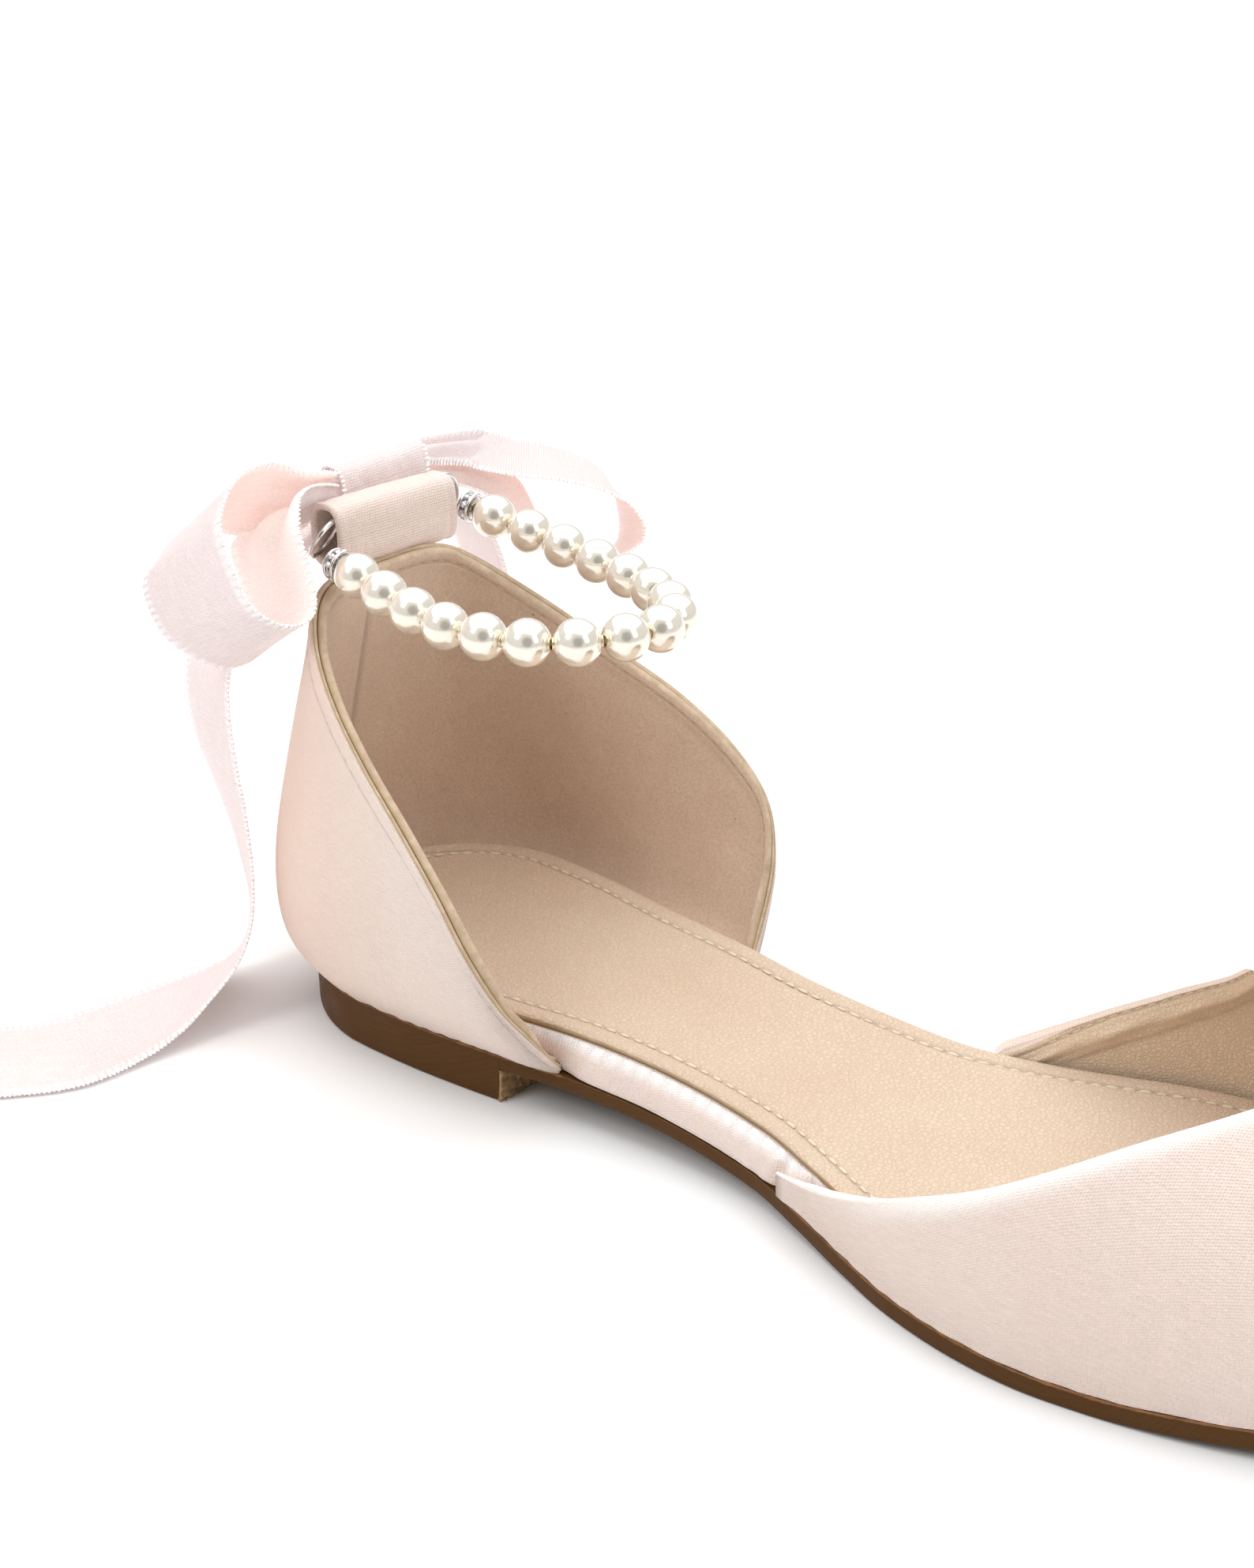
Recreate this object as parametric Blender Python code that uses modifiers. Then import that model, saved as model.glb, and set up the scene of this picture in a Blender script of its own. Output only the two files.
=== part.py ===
"""Pointed toe flat with a ribbon bow and a pearl ankle strand: the construction model.

A right shoe of about EU 38.  Lengths are in millimetres until a mesh is made, which is in metres.
Origin: middle of the heel block's flat bottom.  +X runs to the toe, +Y to the inner side, +Z up.
"""
import math

import bmesh
import bpy
import numpy as np
from mathutils import Vector

MM = 0.001
GAP = 0.3                     # clearance between pieces that lie on each other

# ---- driving sizes, mm -------------------------------------------------------------------
HEEL_CENTRE_X = -2.0          # centre of the round seat of the heel
HEEL_RADIUS = 28.9
TIP_CENTRE = (226.2, 5.95)    # centre of the small round at the point of the toe
TIP_RADIUS = 3.0
BLOCK_HEIGHT = 6.3
BLOCK_FRONT_X = 30.0
BLOCK_TAPER = 0.3
SOLE_CHAMFER = 0.6
BOARD_HEIGHT = 6.6            # top edge of the insole board over the feather line
BOARD_DISH = 1.2              # how far the board's middle lies below its edges
DISH_FULL_WIDTH = 18.0        # half width from which the dish is full
BOARD_INSET = 2.9             # board edge inside the sole edge
BOARD_END_X = 213.0
SOCK_THICKNESS = 1.3
SOCK_GAP = 0.4
VAMP_WALL = 1.8
VAMP_STAND = 1.2              # the vamp leaves the feather line upright for this height
QUARTER_WALL = 2.2
INNER_TIP_STRETCH = 0.11      # the quarter reaches further forward on the inner side
TAB_CENTRE = (-25.8, 88.1)    # x, z of the tab's tunnel
TAB_HALF = (4.2, 6.3)
TAB_SQUARENESS = 3.4          # 2 is an oval, more is squarer
TAB_ENDS = (-9.5, 20.5)
TAB_WALL = 1.4
KNOT_CENTRE = (-33.8, 10.8, 93.0)
KNOT_SIZE = (6.4, 21.6, 8.4)
RIBBON_THICKNESS = 0.8
PEARL_COUNT = 17
PEARL_DIAMETER = 8.25
PEARL_GAP = 0.25
BORE_RADIUS = 0.65
WIRE_RADIUS = 0.35
RONDELLE_THICKNESS = 2.6
RONDELLE_RADIUS = 3.2
RING_RADIUS = 4.0
RING_WIRE = 0.5

# Sole plan and heights: x, outer edge y, inner edge y, feather line z, sole bottom z
SOLE_ROWS = [
    (-2.0, -28.9, 28.9, 9.5, 6.6),
    (12.0, -28.3, 28.4, 9.5, 6.6),
    (30.0, -26.1, 26.2, 9.5, 6.6),
    (46.0, -22.8, 25.5, 9.0, 6.1),
    (64.0, -20.7, 25.0, 7.6, 4.7),
    (82.0, -20.6, 26.5, 5.9, 2.8),
    (93.0, -24.1, 28.5, 4.9, 1.6),
    (105.0, -27.9, 33.2, 4.0, 0.5),
    (116.0, -31.2, 38.5, 3.5, 0.0),
    (128.0, -33.2, 43.8, 3.5, 0.0),
    (140.0, -33.3, 47.2, 3.5, 0.0),
    (151.0, -31.4, 47.9, 3.5, 0.0),
    (163.0, -28.4, 45.3, 4.3, 0.8),
    (175.0, -24.2, 39.6, 5.4, 1.9),
    (187.0, -19.0, 32.8, 6.7, 3.2),
    (199.0, -12.8, 25.7, 8.1, 4.6),
    (211.0, -6.1, 18.6, 9.6, 6.1),
    (222.0, 0.1, 12.1, 11.1, 7.6),
    (227.7, 3.34, 8.56, 12.0, 8.5),
]

# Last over the forepart: x, height of the crest line z
CREST_ROWS = [
    (85.0, 66.0),
    (110.0, 62.5),
    (130.0, 57.5),
    (150.0, 50.8),
    (170.0, 43.5),
    (190.0, 35.5),
    (205.0, 28.8),
    (215.0, 24.0),
    (222.0, 20.8),
    (226.5, 18.0),
    (228.6, 15.4),
    (229.15, 13.0),
]

# Vamp: foot x, rim x, rim place across (1 at the feather line, 0 on the crest)
VAMP_OUTER = [
    (89.0, 89.0, 0.970),
    (96.5, 96.0, 0.955),
    (107.0, 106.0, 0.905),
    (119.0, 118.0, 0.820),
    (132.0, 130.5, 0.715),
    (147.0, 141.0, 0.590),
    (163.0, 150.0, 0.450),
    (180.0, 157.0, 0.315),
    (198.0, 162.5, 0.170),
    (214.0, 165.8, 0.070),
    (224.0, 166.8, 0.020),
]
VAMP_INNER = [
    (95.0, 95.0, 0.945),
    (102.0, 102.0, 0.895),
    (112.0, 112.0, 0.815),
    (124.0, 123.0, 0.705),
    (137.0, 133.0, 0.550),
    (151.0, 142.0, 0.350),
    (167.0, 150.5, 0.230),
    (183.0, 157.5, 0.145),
    (199.0, 162.8, 0.080),
    (214.0, 165.9, 0.035),
    (224.0, 166.8, 0.012),
]
THROAT_X = 167.0

# Quarter, back centre to wing tip: foot x, belly x, belly half width, belly z, then the
# same three for the topline
QUARTER_ROWS = [
    (-30.8, -35.7, 0.0, 28.0, -23.5, 0.0, 81.5),
    (-29.0, -34.2, 11.8, 28.0, -23.0, 9.0, 81.5),
    (-24.3, -29.3, 22.4, 28.0, -21.4, 15.6, 80.6),
    (-16.7, -20.3, 30.6, 28.0, -18.4, 20.6, 77.8),
    (-7.9, -9.4, 34.7, 28.0, -12.6, 25.6, 73.0),
    (2.0, 2.0, 35.6, 28.0, -4.0, 30.2, 67.2),
    (12.5, 13.5, 35.6, 27.0, 7.0, 34.2, 60.4),
    (22.5, 24.0, 35.7, 26.0, 18.0, 37.3, 53.8),
    (30.5, 32.0, 35.5, 24.0, 28.0, 39.2, 45.6),
    (36.5, 37.3, 34.2, 20.5, 35.0, 39.3, 36.5),
    (39.8, 40.2, 31.0, 17.0, 39.0, 35.6, 26.5),
    (41.5, 41.8, 27.5, 13.6, 41.2, 29.5, 17.5),
    (42.3, 42.4, 25.0, 11.6, 42.2, 25.6, 13.4),
]

# Ribbon routes: near edge x, y, z, then the way across to the far edge x, y, z
LOOP_OUTER = [
    (-32.0, -0.6, 96.9, -4.2, 0.0, -4.4),
    (-30.0, -10.6, 100.0, -6.0, 5.0, -13.0),
    (-28.0, -18.7, 103.0, -8.0, 7.0, -18.0),
    (-27.0, -25.5, 102.3, -9.0, -2.0, -20.0),
    (-25.5, -30.0, 98.8, -12.0, -8.0, -18.0),
    (-23.5, -33.6, 93.2, -15.0, -9.0, -16.0),
    (-19.0, -33.0, 83.4, -19.0, -1.5, -13.5),
    (-15.5, -32.0, 79.8, -19.0, -1.5, -13.5),
    (-13.5, -29.4, 78.8, -18.5, -1.5, -13.5),
    (-13.0, -25.6, 78.4, -18.0, -2.5, -13.0),
    (-13.5, -22.6, 79.8, -17.5, -2.5, -13.2),
    (-14.5, -21.0, 82.4, -17.0, -1.5, -14.0),
    (-17.0, -20.6, 86.8, -16.5, 0.0, -14.5),
    (-19.0, -20.6, 91.5, -15.5, 2.0, -14.0),
    (-21.0, -19.4, 95.4, -14.0, 3.0, -12.0),
    (-23.5, -16.4, 97.6, -11.5, 3.0, -11.0),
    (-26.0, -11.8, 97.6, -9.0, 3.0, -10.0),
    (-29.0, -5.5, 95.8, -6.0, 1.5, -7.5),
    (-30.9, -0.6, 94.0, -3.6, 0.0, -4.4),
]
LOOP_INNER = [
    (-31.5, 22.2, 92.9, -4.5, 0.0, 3.4),
    (-31.0, 32.4, 89.9, -12.0, 15.4, 0.8),
    (-27.0, 41.6, 86.6, -15.5, 17.0, 0.0),
    (-22.0, 50.0, 84.5, -16.0, 16.5, -0.5),
    (-17.0, 55.6, 82.4, -16.0, 16.0, -2.0),
    (-14.0, 59.8, 79.6, -16.0, 14.5, -4.5),
    (-12.0, 61.5, 76.8, -16.5, 13.0, -6.5),
    (-11.0, 62.3, 73.7, -17.0, 12.0, -7.0),
    (-12.0, 62.0, 70.4, -17.0, 12.0, -7.0),
    (-14.5, 58.6, 68.2, -17.0, 12.5, -6.0),
    (-18.5, 52.3, 69.4, -17.0, 13.0, -4.0),
    (-23.0, 46.5, 73.4, -16.0, 13.5, -1.0),
    (-27.0, 42.5, 79.0, -14.0, 13.5, 1.0),
    (-30.0, 37.0, 83.8, -11.0, 11.0, 1.5),
    (-31.4, 30.0, 87.2, -7.0, 5.5, 1.6),
    (-31.5, 22.2, 89.5, -4.4, 0.0, 1.6),
]
TAIL_OUTER = [
    (-31.6, 4.0, 88.2, -4.5, 0.0, 0.0),
    (-32.2, -2.0, 86.8, -8.0, 1.0, -2.5),
    (-33.0, -10.0, 82.5, -14.0, 3.0, -5.5),
    (-34.5, -19.0, 75.0, -18.5, 6.0, -6.5),
    (-34.2, -26.0, 66.5, -21.0, 8.0, -5.0),
    (-32.0, -29.4, 58.9, -22.0, 8.5, -3.0),
    (-29.0, -31.2, 50.0, -22.0, 9.0, -3.0),
    (-26.6, -31.8, 41.0, -21.0, 10.5, -4.0),
    (-24.6, -32.8, 31.5, -19.0, 12.5, -7.0),
    (-23.4, -35.0, 21.5, -17.0, 14.0, -8.5),
    (-23.7, -39.0, 13.5, -16.5, 14.5, -8.0),
    (-25.5, -45.0, 7.2, -17.5, 14.5, -5.0),
    (-26.6, -52.0, 3.2, -19.5, 13.0, -2.0),
    (-27.8, -61.0, 1.2, -21.5, 10.5, -0.4),
    (-30.0, -72.0, 0.9, -22.0, 9.5, 0.0),
    (-38.0, -83.0, 0.8, -20.0, 13.0, 0.0),
    (-48.0, -93.0, 0.8, -17.5, 16.5, 0.0),
    (-60.0, -104.0, 0.8, -16.5, 17.5, 0.0),
]
TAIL_INNER = [
    (-31.6, 17.0, 88.2, -4.5, 0.0, 0.0),
    (-31.8, 24.0, 86.0, -8.0, 1.0, -2.0),
    (-32.0, 33.0, 81.0, -15.0, 4.5, -5.0),
    (-32.2, 40.0, 74.5, -20.0, 8.0, -5.0),
    (-32.8, 44.5, 66.0, -22.0, 9.0, -2.5),
    (-33.4, 47.3, 56.0, -22.5, 8.0, -1.0),
    (-34.5, 49.5, 43.0, -23.0, 3.0, -1.0),
    (-36.0, 51.5, 29.0, -22.5, -4.0, -3.0),
    (-38.5, 54.0, 16.0, -20.5, -11.0, -4.5),
    (-43.0, 59.0, 6.5, -18.5, -15.0, -3.0),
    (-50.0, 66.5, 1.6, -17.5, -16.4, -0.5),
    (-61.0, 78.0, 0.9, -17.3, -16.6, 0.0),
    (-76.0, 93.5, 0.8, -17.3, -16.6, 0.0),
    (-91.0, 109.0, 0.8, -17.3, -16.6, 0.0),
]

# Ankle strand, the line of its wire from the outer ring to the inner one: x, y, z
STRAND_ROUTE = [
    (-24.35, -13.40, 86.0),
    (-17.0, -13.5, 85.6),
    (-4.0, -15.9, 84.3),
    (13.0, -18.1, 83.2),
    (29.9, -15.8, 84.0),
    (38.9, -7.8, 84.5),
    (41.4, 1.0, 83.8),
    (37.9, 12.9, 82.3),
    (24.0, 22.8, 80.9),
    (7.2, 26.4, 81.5),
    (-9.8, 26.1, 83.6),
    (-25.15, 24.4, 86.0),
]
OUTER_LEAD = 7.6              # wire between the outer ring and the first pearl
INNER_LEAD = 3.9

# Colour, roughness, metallic
FINISHES = {
    "sole_leather": ((0.10, 0.055, 0.028), 0.6, 0.0),
    "insole_leather": ((0.82, 0.64, 0.46), 0.55, 0.0),
    "satin": ((0.86, 0.70, 0.61), 0.4, 0.0),
    "ribbon_satin": ((0.92, 0.76, 0.72), 0.38, 0.0),
    "pearl": ((0.92, 0.89, 0.83), 0.18, 0.0),
    "silver": ((0.80, 0.80, 0.80), 0.2, 1.0),
}


# ---- helpers -----------------------------------------------------------------------------
def clear_scene():
    """Remove every object that the file starts with."""
    for obj in list(bpy.data.objects):
        bpy.data.objects.remove(obj, do_unlink=True)


def monotone(xs, ys, x):
    """Value at x of the smooth curve through (xs, ys) that never overshoots them."""
    xs = np.asarray(xs, float)
    ys = np.asarray(ys, float)
    x = min(max(x, xs[0]), xs[-1])
    slopes = np.diff(ys) / np.diff(xs)
    tangents = np.zeros(len(xs))
    tangents[0] = slopes[0]
    tangents[-1] = slopes[-1]
    for i in range(1, len(xs) - 1):
        before, after = slopes[i - 1], slopes[i]
        if before * after > 0:
            tangents[i] = 2.0 * before * after / (before + after)
    i = min(int(np.searchsorted(xs, x, side="right")) - 1, len(xs) - 2)
    step = xs[i + 1] - xs[i]
    t = (x - xs[i]) / step
    return float(
        ys[i] * (2 * t**3 - 3 * t**2 + 1)
        + tangents[i] * step * (t**3 - 2 * t**2 + t)
        + ys[i + 1] * (3 * t**2 - 2 * t**3)
        + tangents[i + 1] * step * (t**3 - t**2)
    )


def curve_through(rows, count, measure=None):
    """Rows resampled to count even steps along the smooth curve that runs through them.

    measure turns a row into the point whose travel is counted; all columns by default.
    """
    rows = np.asarray(rows, float)
    padded = np.vstack([2 * rows[0] - rows[1], rows, 2 * rows[-1] - rows[-2]])
    fine = []
    for i in range(1, len(padded) - 2):
        before, start, end, after = padded[i - 1:i + 3]
        for t in np.linspace(0.0, 1.0, 16, endpoint=False):
            fine.append(0.5 * (
                2 * start + (end - before) * t
                + (2 * before - 5 * start + 4 * end - after) * t**2
                + (3 * start - before - 3 * end + after) * t**3
            ))
    fine.append(rows[-1])
    fine = np.array(fine)
    track = fine if measure is None else np.array([measure(row) for row in fine])
    travel = np.concatenate([[0.0], np.cumsum(np.linalg.norm(np.diff(track, axis=0), axis=1))])
    wanted = np.linspace(0.0, travel[-1], count)
    return np.column_stack([np.interp(wanted, travel, fine[:, k]) for k in range(rows.shape[1])])


def edge_y(x, side):
    """Y of the sole's edge at x: side -1 is the outer edge, +1 the inner."""
    if x < HEEL_CENTRE_X:
        return side * math.sqrt(max(HEEL_RADIUS**2 - (x - HEEL_CENTRE_X) ** 2, 0.0))
    last_x = SOLE_ROWS[-1][0]
    if x > last_x:
        reach = math.sqrt(max(TIP_RADIUS**2 - (x - TIP_CENTRE[0]) ** 2, 0.0))
        return TIP_CENTRE[1] + side * reach
    column = 1 if side < 0 else 2
    return monotone([row[0] for row in SOLE_ROWS], [row[column] for row in SOLE_ROWS], x)


def feather_z(x):
    """Height of the line where upper meets sole."""
    return monotone([row[0] for row in SOLE_ROWS], [row[3] for row in SOLE_ROWS], x)


def bottom_z(x):
    """Height of the sole's underside."""
    return monotone([row[0] for row in SOLE_ROWS], [row[4] for row in SOLE_ROWS], x)


def edge_pairs(inset, end_x, steps):
    """Outer and inner edge points, heel to end_x, moved in by inset (a number or f(x))."""
    shift = inset if callable(inset) else (lambda x: inset)
    pairs = []
    for degrees in (7, 20, 33, 46, 59, 72, 84):
        angle = math.radians(degrees)
        radius = HEEL_RADIUS - shift(HEEL_CENTRE_X)
        x = HEEL_CENTRE_X - radius * math.cos(angle)
        y = radius * math.sin(angle)
        pairs.append(((x, -y), (x, y)))
    for x in np.linspace(HEEL_CENTRE_X + 3.0, end_x, steps):
        pair = []
        for side in (-1, 1):
            slope = (edge_y(x + 0.5, side) - edge_y(x - 0.5, side)) / 1.0
            length = math.hypot(1.0, slope)
            move = shift(x)
            pair.append((x + side * slope / length * move, edge_y(x, side) - side * move / length))
        pairs.append(tuple(pair))
    return pairs


def new_object(name, mesh, finish, collection):
    """An object in the shoe's collection with a material of its own."""
    colour, roughness, metallic = FINISHES[finish]
    material = bpy.data.materials.new(name + "_" + finish)
    material.use_nodes = True
    shader = material.node_tree.nodes["Principled BSDF"]
    shader.inputs["Base Color"].default_value = (*colour, 1.0)
    shader.inputs["Roughness"].default_value = roughness
    shader.inputs["Metallic"].default_value = metallic
    obj = bpy.data.objects.new(name, mesh)
    obj.data.materials.append(material)
    collection.objects.link(obj)
    return obj


def loft_surface(name, rows):
    """An open surface through rows of points, all rows the same length."""
    bm = bmesh.new()
    grid = [[bm.verts.new(Vector(point) * MM) for point in row] for row in rows]
    for row, following in zip(grid, grid[1:]):
        for i in range(len(row) - 1):
            bm.faces.new((row[i], row[i + 1], following[i + 1], following[i]))
    mesh = bpy.data.meshes.new(name)
    bm.to_mesh(mesh)
    bm.free()
    mesh.shade_smooth()
    return mesh


def loft_solid(name, sections):
    """A closed body through closed sections, flat at both ends."""
    bm = bmesh.new()
    rings = [[bm.verts.new(Vector(point) * MM) for point in section] for section in sections]
    for ring, following in zip(rings, rings[1:]):
        for i in range(len(ring)):
            j = (i + 1) % len(ring)
            bm.faces.new((ring[i], ring[j], following[j], following[i]))
    bm.faces.new(rings[0][::-1])
    bm.faces.new(rings[-1])
    bmesh.ops.recalc_face_normals(bm, faces=bm.faces[:])
    mesh = bpy.data.meshes.new(name)
    bm.to_mesh(mesh)
    bm.free()
    return mesh


def thicken(obj, thickness):
    """Give an open surface its wall, away from the side it faces."""
    wall = obj.modifiers.new("wall", "SOLIDIFY")
    wall.thickness = thickness * MM
    wall.offset = -1.0
    return wall


# ---- bottom ------------------------------------------------------------------------------
def make_outsole(collection):
    """Leather outsole with its arch and toe spring, and a small chamfer below."""
    outer = edge_pairs(0.0, SOLE_ROWS[-1][0], 30)
    inner = edge_pairs(SOLE_CHAMFER, SOLE_ROWS[-1][0], 30)
    for degrees in (36, 12):
        angle = math.radians(degrees)
        for pairs, radius in ((outer, TIP_RADIUS), (inner, TIP_RADIUS - SOLE_CHAMFER)):
            x = TIP_CENTRE[0] + radius * math.cos(angle)
            y = radius * math.sin(angle)
            pairs.append(((x, TIP_CENTRE[1] - y), (x, TIP_CENTRE[1] + y)))
    sections = []
    for (left, right), (low_left, low_right) in zip(outer, inner):
        top = feather_z(left[0])
        low = bottom_z(left[0])
        sections.append([
            (*left, top), (*right, top),
            (*right, low + SOLE_CHAMFER), (*low_right, low),
            (*low_left, low), (*left, low + SOLE_CHAMFER),
        ])
    return new_object("outsole", loft_solid("outsole", sections), "sole_leather", collection)


def make_heel_block(collection):
    """Low stacked heel with a straight breast."""
    wide = edge_pairs(0.0, BLOCK_FRONT_X, 6)
    narrow = edge_pairs(BLOCK_TAPER, BLOCK_FRONT_X, 6)
    sections = []
    for (left, right), (low_left, low_right) in zip(wide, narrow):
        sections.append([
            (*left, BLOCK_HEIGHT), (*right, BLOCK_HEIGHT), (*low_right, 0.0), (*low_left, 0.0),
        ])
    return new_object("heel_block", loft_solid("heel_block", sections), "sole_leather", collection)


def toe_share(x):
    """0 up to the ball, 1 at the front end of the insole."""
    ball_x = 150.0
    return min(max((x - ball_x) / (BOARD_END_X - ball_x), 0.0), 1.0)


def board_inset(x):
    """Board edge inside the sole edge, more under the low toe."""
    return BOARD_INSET + 3.4 * toe_share(x)


def insole_level(x, across, half_width):
    """Top of the insole board at x, across -1 to 1, dished along its middle."""
    low_toe = 1.0 - 0.62 * toe_share(x)
    dish = BOARD_DISH * (1.0 - across * across) * min(half_width / DISH_FULL_WIDTH, 1.0) ** 2
    return feather_z(x) + (BOARD_HEIGHT - dish) * low_toe


def insole_row(left, right, lift):
    """Points across the insole board's top from its outer to its inner edge, lifted by lift."""
    points = []
    half_width = 0.5 * math.dist(left, right)
    for across in (-1.0, -0.5, 0.0, 0.5, 1.0):
        share = 0.5 * (across + 1.0)
        x = left[0] + (right[0] - left[0]) * share
        y = left[1] + (right[1] - left[1]) * share
        points.append((x, y, insole_level(x, across, half_width) + lift))
    return points


def make_insole_board(collection):
    """Board wrapped in satin, which shows as a band between sole and sock."""
    sections = []
    for left, right in edge_pairs(board_inset, BOARD_END_X, 28):
        top = insole_row(left, right, 0.0)
        seat = feather_z(left[0]) + GAP
        sections.append(top + [(*right, seat), (*left, seat)])
    return new_object("insole_board", loft_solid("insole_board", sections), "satin", collection)


def make_insole_sock(collection):
    """Leather sock on the board."""
    sections = []
    for left, right in edge_pairs(board_inset, BOARD_END_X, 28):
        low = insole_row(left, right, SOCK_GAP)
        top = [(x, y, z + SOCK_THICKNESS) for x, y, z in low]
        sections.append(top + low[::-1])
    return new_object("insole_sock", loft_solid("insole_sock", sections), "insole_leather",
                      collection)


# ---- upper -------------------------------------------------------------------------------
def last_point(x, across):
    """Point of the last's skin: across -1 is the outer feather line, 0 the crest, 1 the inner."""
    side = -1 if across < 0 else 1
    t = 1.0 - abs(across)
    foot_y = edge_y(x, side)
    foot_z = feather_z(x) + GAP + VAMP_STAND
    middle_y = 0.5 * (edge_y(x, -1) + edge_y(x, 1))
    crest = monotone([row[0] for row in CREST_ROWS], [row[1] for row in CREST_ROWS], x)
    rise = max(crest - foot_z, 0.0)
    half = foot_y - middle_y
    belly = side * min(4.0, 0.08 * rise)
    handles = (
        (foot_y, foot_z),
        (foot_y + belly, foot_z + 0.62 * rise),
        (middle_y + 0.52 * half, foot_z + rise),
        (middle_y, foot_z + rise),
    )
    weights = ((1 - t) ** 3, 3 * t * (1 - t) ** 2, 3 * t * t * (1 - t), t**3)
    y = sum(w * handle[0] for w, handle in zip(weights, handles))
    z = sum(w * handle[1] for w, handle in zip(weights, handles))
    return (x, y, z)


def make_vamp(collection):
    """Pointed forepart in one piece, open in a deep V at the throat."""
    tip_x = TIP_CENTRE[0] + TIP_RADIUS - 0.05
    columns = np.linspace(0.0, 1.0, 9)
    rays = []
    for table, side in ((VAMP_OUTER, -1), (VAMP_INNER, 1)):
        rows = [row for row in table] + [(tip_x, THROAT_X, 0.0)]
        ways = curve_through(rows, 20)[:-1]
        rays.append([[(rim_x + (foot_x - rim_x) * s, side * (rim_u + (1.0 - rim_u) * s))
                      for s in columns] for foot_x, rim_x, rim_u in ways])
    middle = [(THROAT_X + (tip_x - THROAT_X) * s, 0.0) for s in columns]
    ways = rays[0] + [middle] + rays[1][::-1]
    surface = []
    for way in ways:
        points = [last_point(x, across) for x, across in way]
        x, y, z = points[-1]
        surface.append(points + [(x, y, z - VAMP_STAND + 0.1)])
    obj = new_object("vamp", loft_surface("vamp", surface), "satin", collection)
    thicken(obj, VAMP_WALL)
    return obj


def quarter_section(foot, belly, top, count):
    """Points from the feather line over the belly to the topline."""
    foot, belly, top = (np.array(point, float) for point in (foot, belly, top))
    leave = (belly - foot) * np.array([2.0, 2.0, 0.8])
    pass_by = 0.5 * (top - foot)
    arrive = top - belly
    points = []
    for share in np.linspace(0.0, 1.0, count):
        if share < 0.4:
            t, start, end, go, come = share / 0.4, foot, belly, leave, pass_by
        else:
            t, start, end, go, come = (share - 0.4) / 0.6, belly, top, pass_by * 1.2, arrive
        points.append(tuple(
            start * (2 * t**3 - 3 * t**2 + 1) + go * (t**3 - 2 * t**2 + t)
            + end * (3 * t**2 - 2 * t**3) + come * (t**3 - t**2)
        ))
    return points


def make_quarter(collection):
    """Heel quarter: one wall round the heel, its wings splayed a little at the front."""
    rows = curve_through(QUARTER_ROWS, 19)
    surface = []
    for side, half in ((-1, rows[::-1]), (1, rows[1:])):
        for foot_x, belly_x, belly_half, belly_z, top_x, top_half, top_z in half:
            shift = INNER_TIP_STRETCH if side > 0 else 0.0
            fx, bx, tx = (x + shift * max(x, 0.0) for x in (foot_x, belly_x, top_x))
            foot_y = 0.995 * edge_y(fx, side)
            foot = (fx, foot_y, feather_z(fx) + GAP)
            belly = (bx, side * belly_half, belly_z)
            top = (tx, side * top_half, top_z)
            surface.append(quarter_section(foot, belly, top, 9))
    obj = new_object("quarter", loft_surface("quarter", surface), "satin", collection)
    thicken(obj, QUARTER_WALL)
    return obj


def make_heel_tab(collection):
    """Satin tab rolled to a tunnel that the ankle strand is held in."""
    ring_points = 18
    power = 2.0 / TAB_SQUARENESS
    rows = []
    for y in np.linspace(TAB_ENDS[0], TAB_ENDS[1], 5):
        row = []
        for i in range(ring_points):
            angle = 2.0 * math.pi * i / ring_points
            along, up = math.cos(angle), -math.sin(angle)
            row.append((
                TAB_CENTRE[0] + TAB_HALF[0] * math.copysign(abs(along) ** power, along), y,
                TAB_CENTRE[1] + TAB_HALF[1] * math.copysign(abs(up) ** power, up),
            ))
        rows.append(row + [row[0]])
    mesh = loft_surface("heel_tab", rows)
    bm = bmesh.new()
    bm.from_mesh(mesh)
    bmesh.ops.remove_doubles(bm, verts=bm.verts[:], dist=0.01 * MM)
    bm.to_mesh(mesh)
    bm.free()
    obj = new_object("heel_tab", mesh, "satin", collection)
    thicken(obj, TAB_WALL)
    return obj


# ---- bow ---------------------------------------------------------------------------------
def make_knot(collection):
    """Wrapped band of the bow, behind the tab."""
    bm = bmesh.new()
    bmesh.ops.create_cube(bm, size=1.0)
    for vert in bm.verts:
        vert.co = Vector([c * s * MM for c, s in zip(vert.co, KNOT_SIZE)])
    mesh = bpy.data.meshes.new("ribbon_knot")
    bm.to_mesh(mesh)
    bm.free()
    obj = new_object("ribbon_knot", mesh, "ribbon_satin", collection)
    obj.location = Vector(KNOT_CENTRE) * MM
    round_edges = obj.modifiers.new("round_edges", "BEVEL")
    round_edges.width = 2.4 * MM
    round_edges.segments = 3
    return obj


def make_ribbon(name, route, count, collection):
    """A stretch of ribbon: its near edge and the way across, thickened."""
    rows = curve_through(route, count, measure=lambda row: row[:3] + 0.5 * row[3:])
    surface = []
    for row in rows:
        near = row[:3]
        surface.append([tuple(near + row[3:] * share) for share in (0.0, 0.5, 1.0)])
    obj = new_object(name, loft_surface(name, surface), "ribbon_satin", collection)
    wall = thicken(obj, RIBBON_THICKNESS)
    wall.offset = 0.0
    return obj


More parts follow.
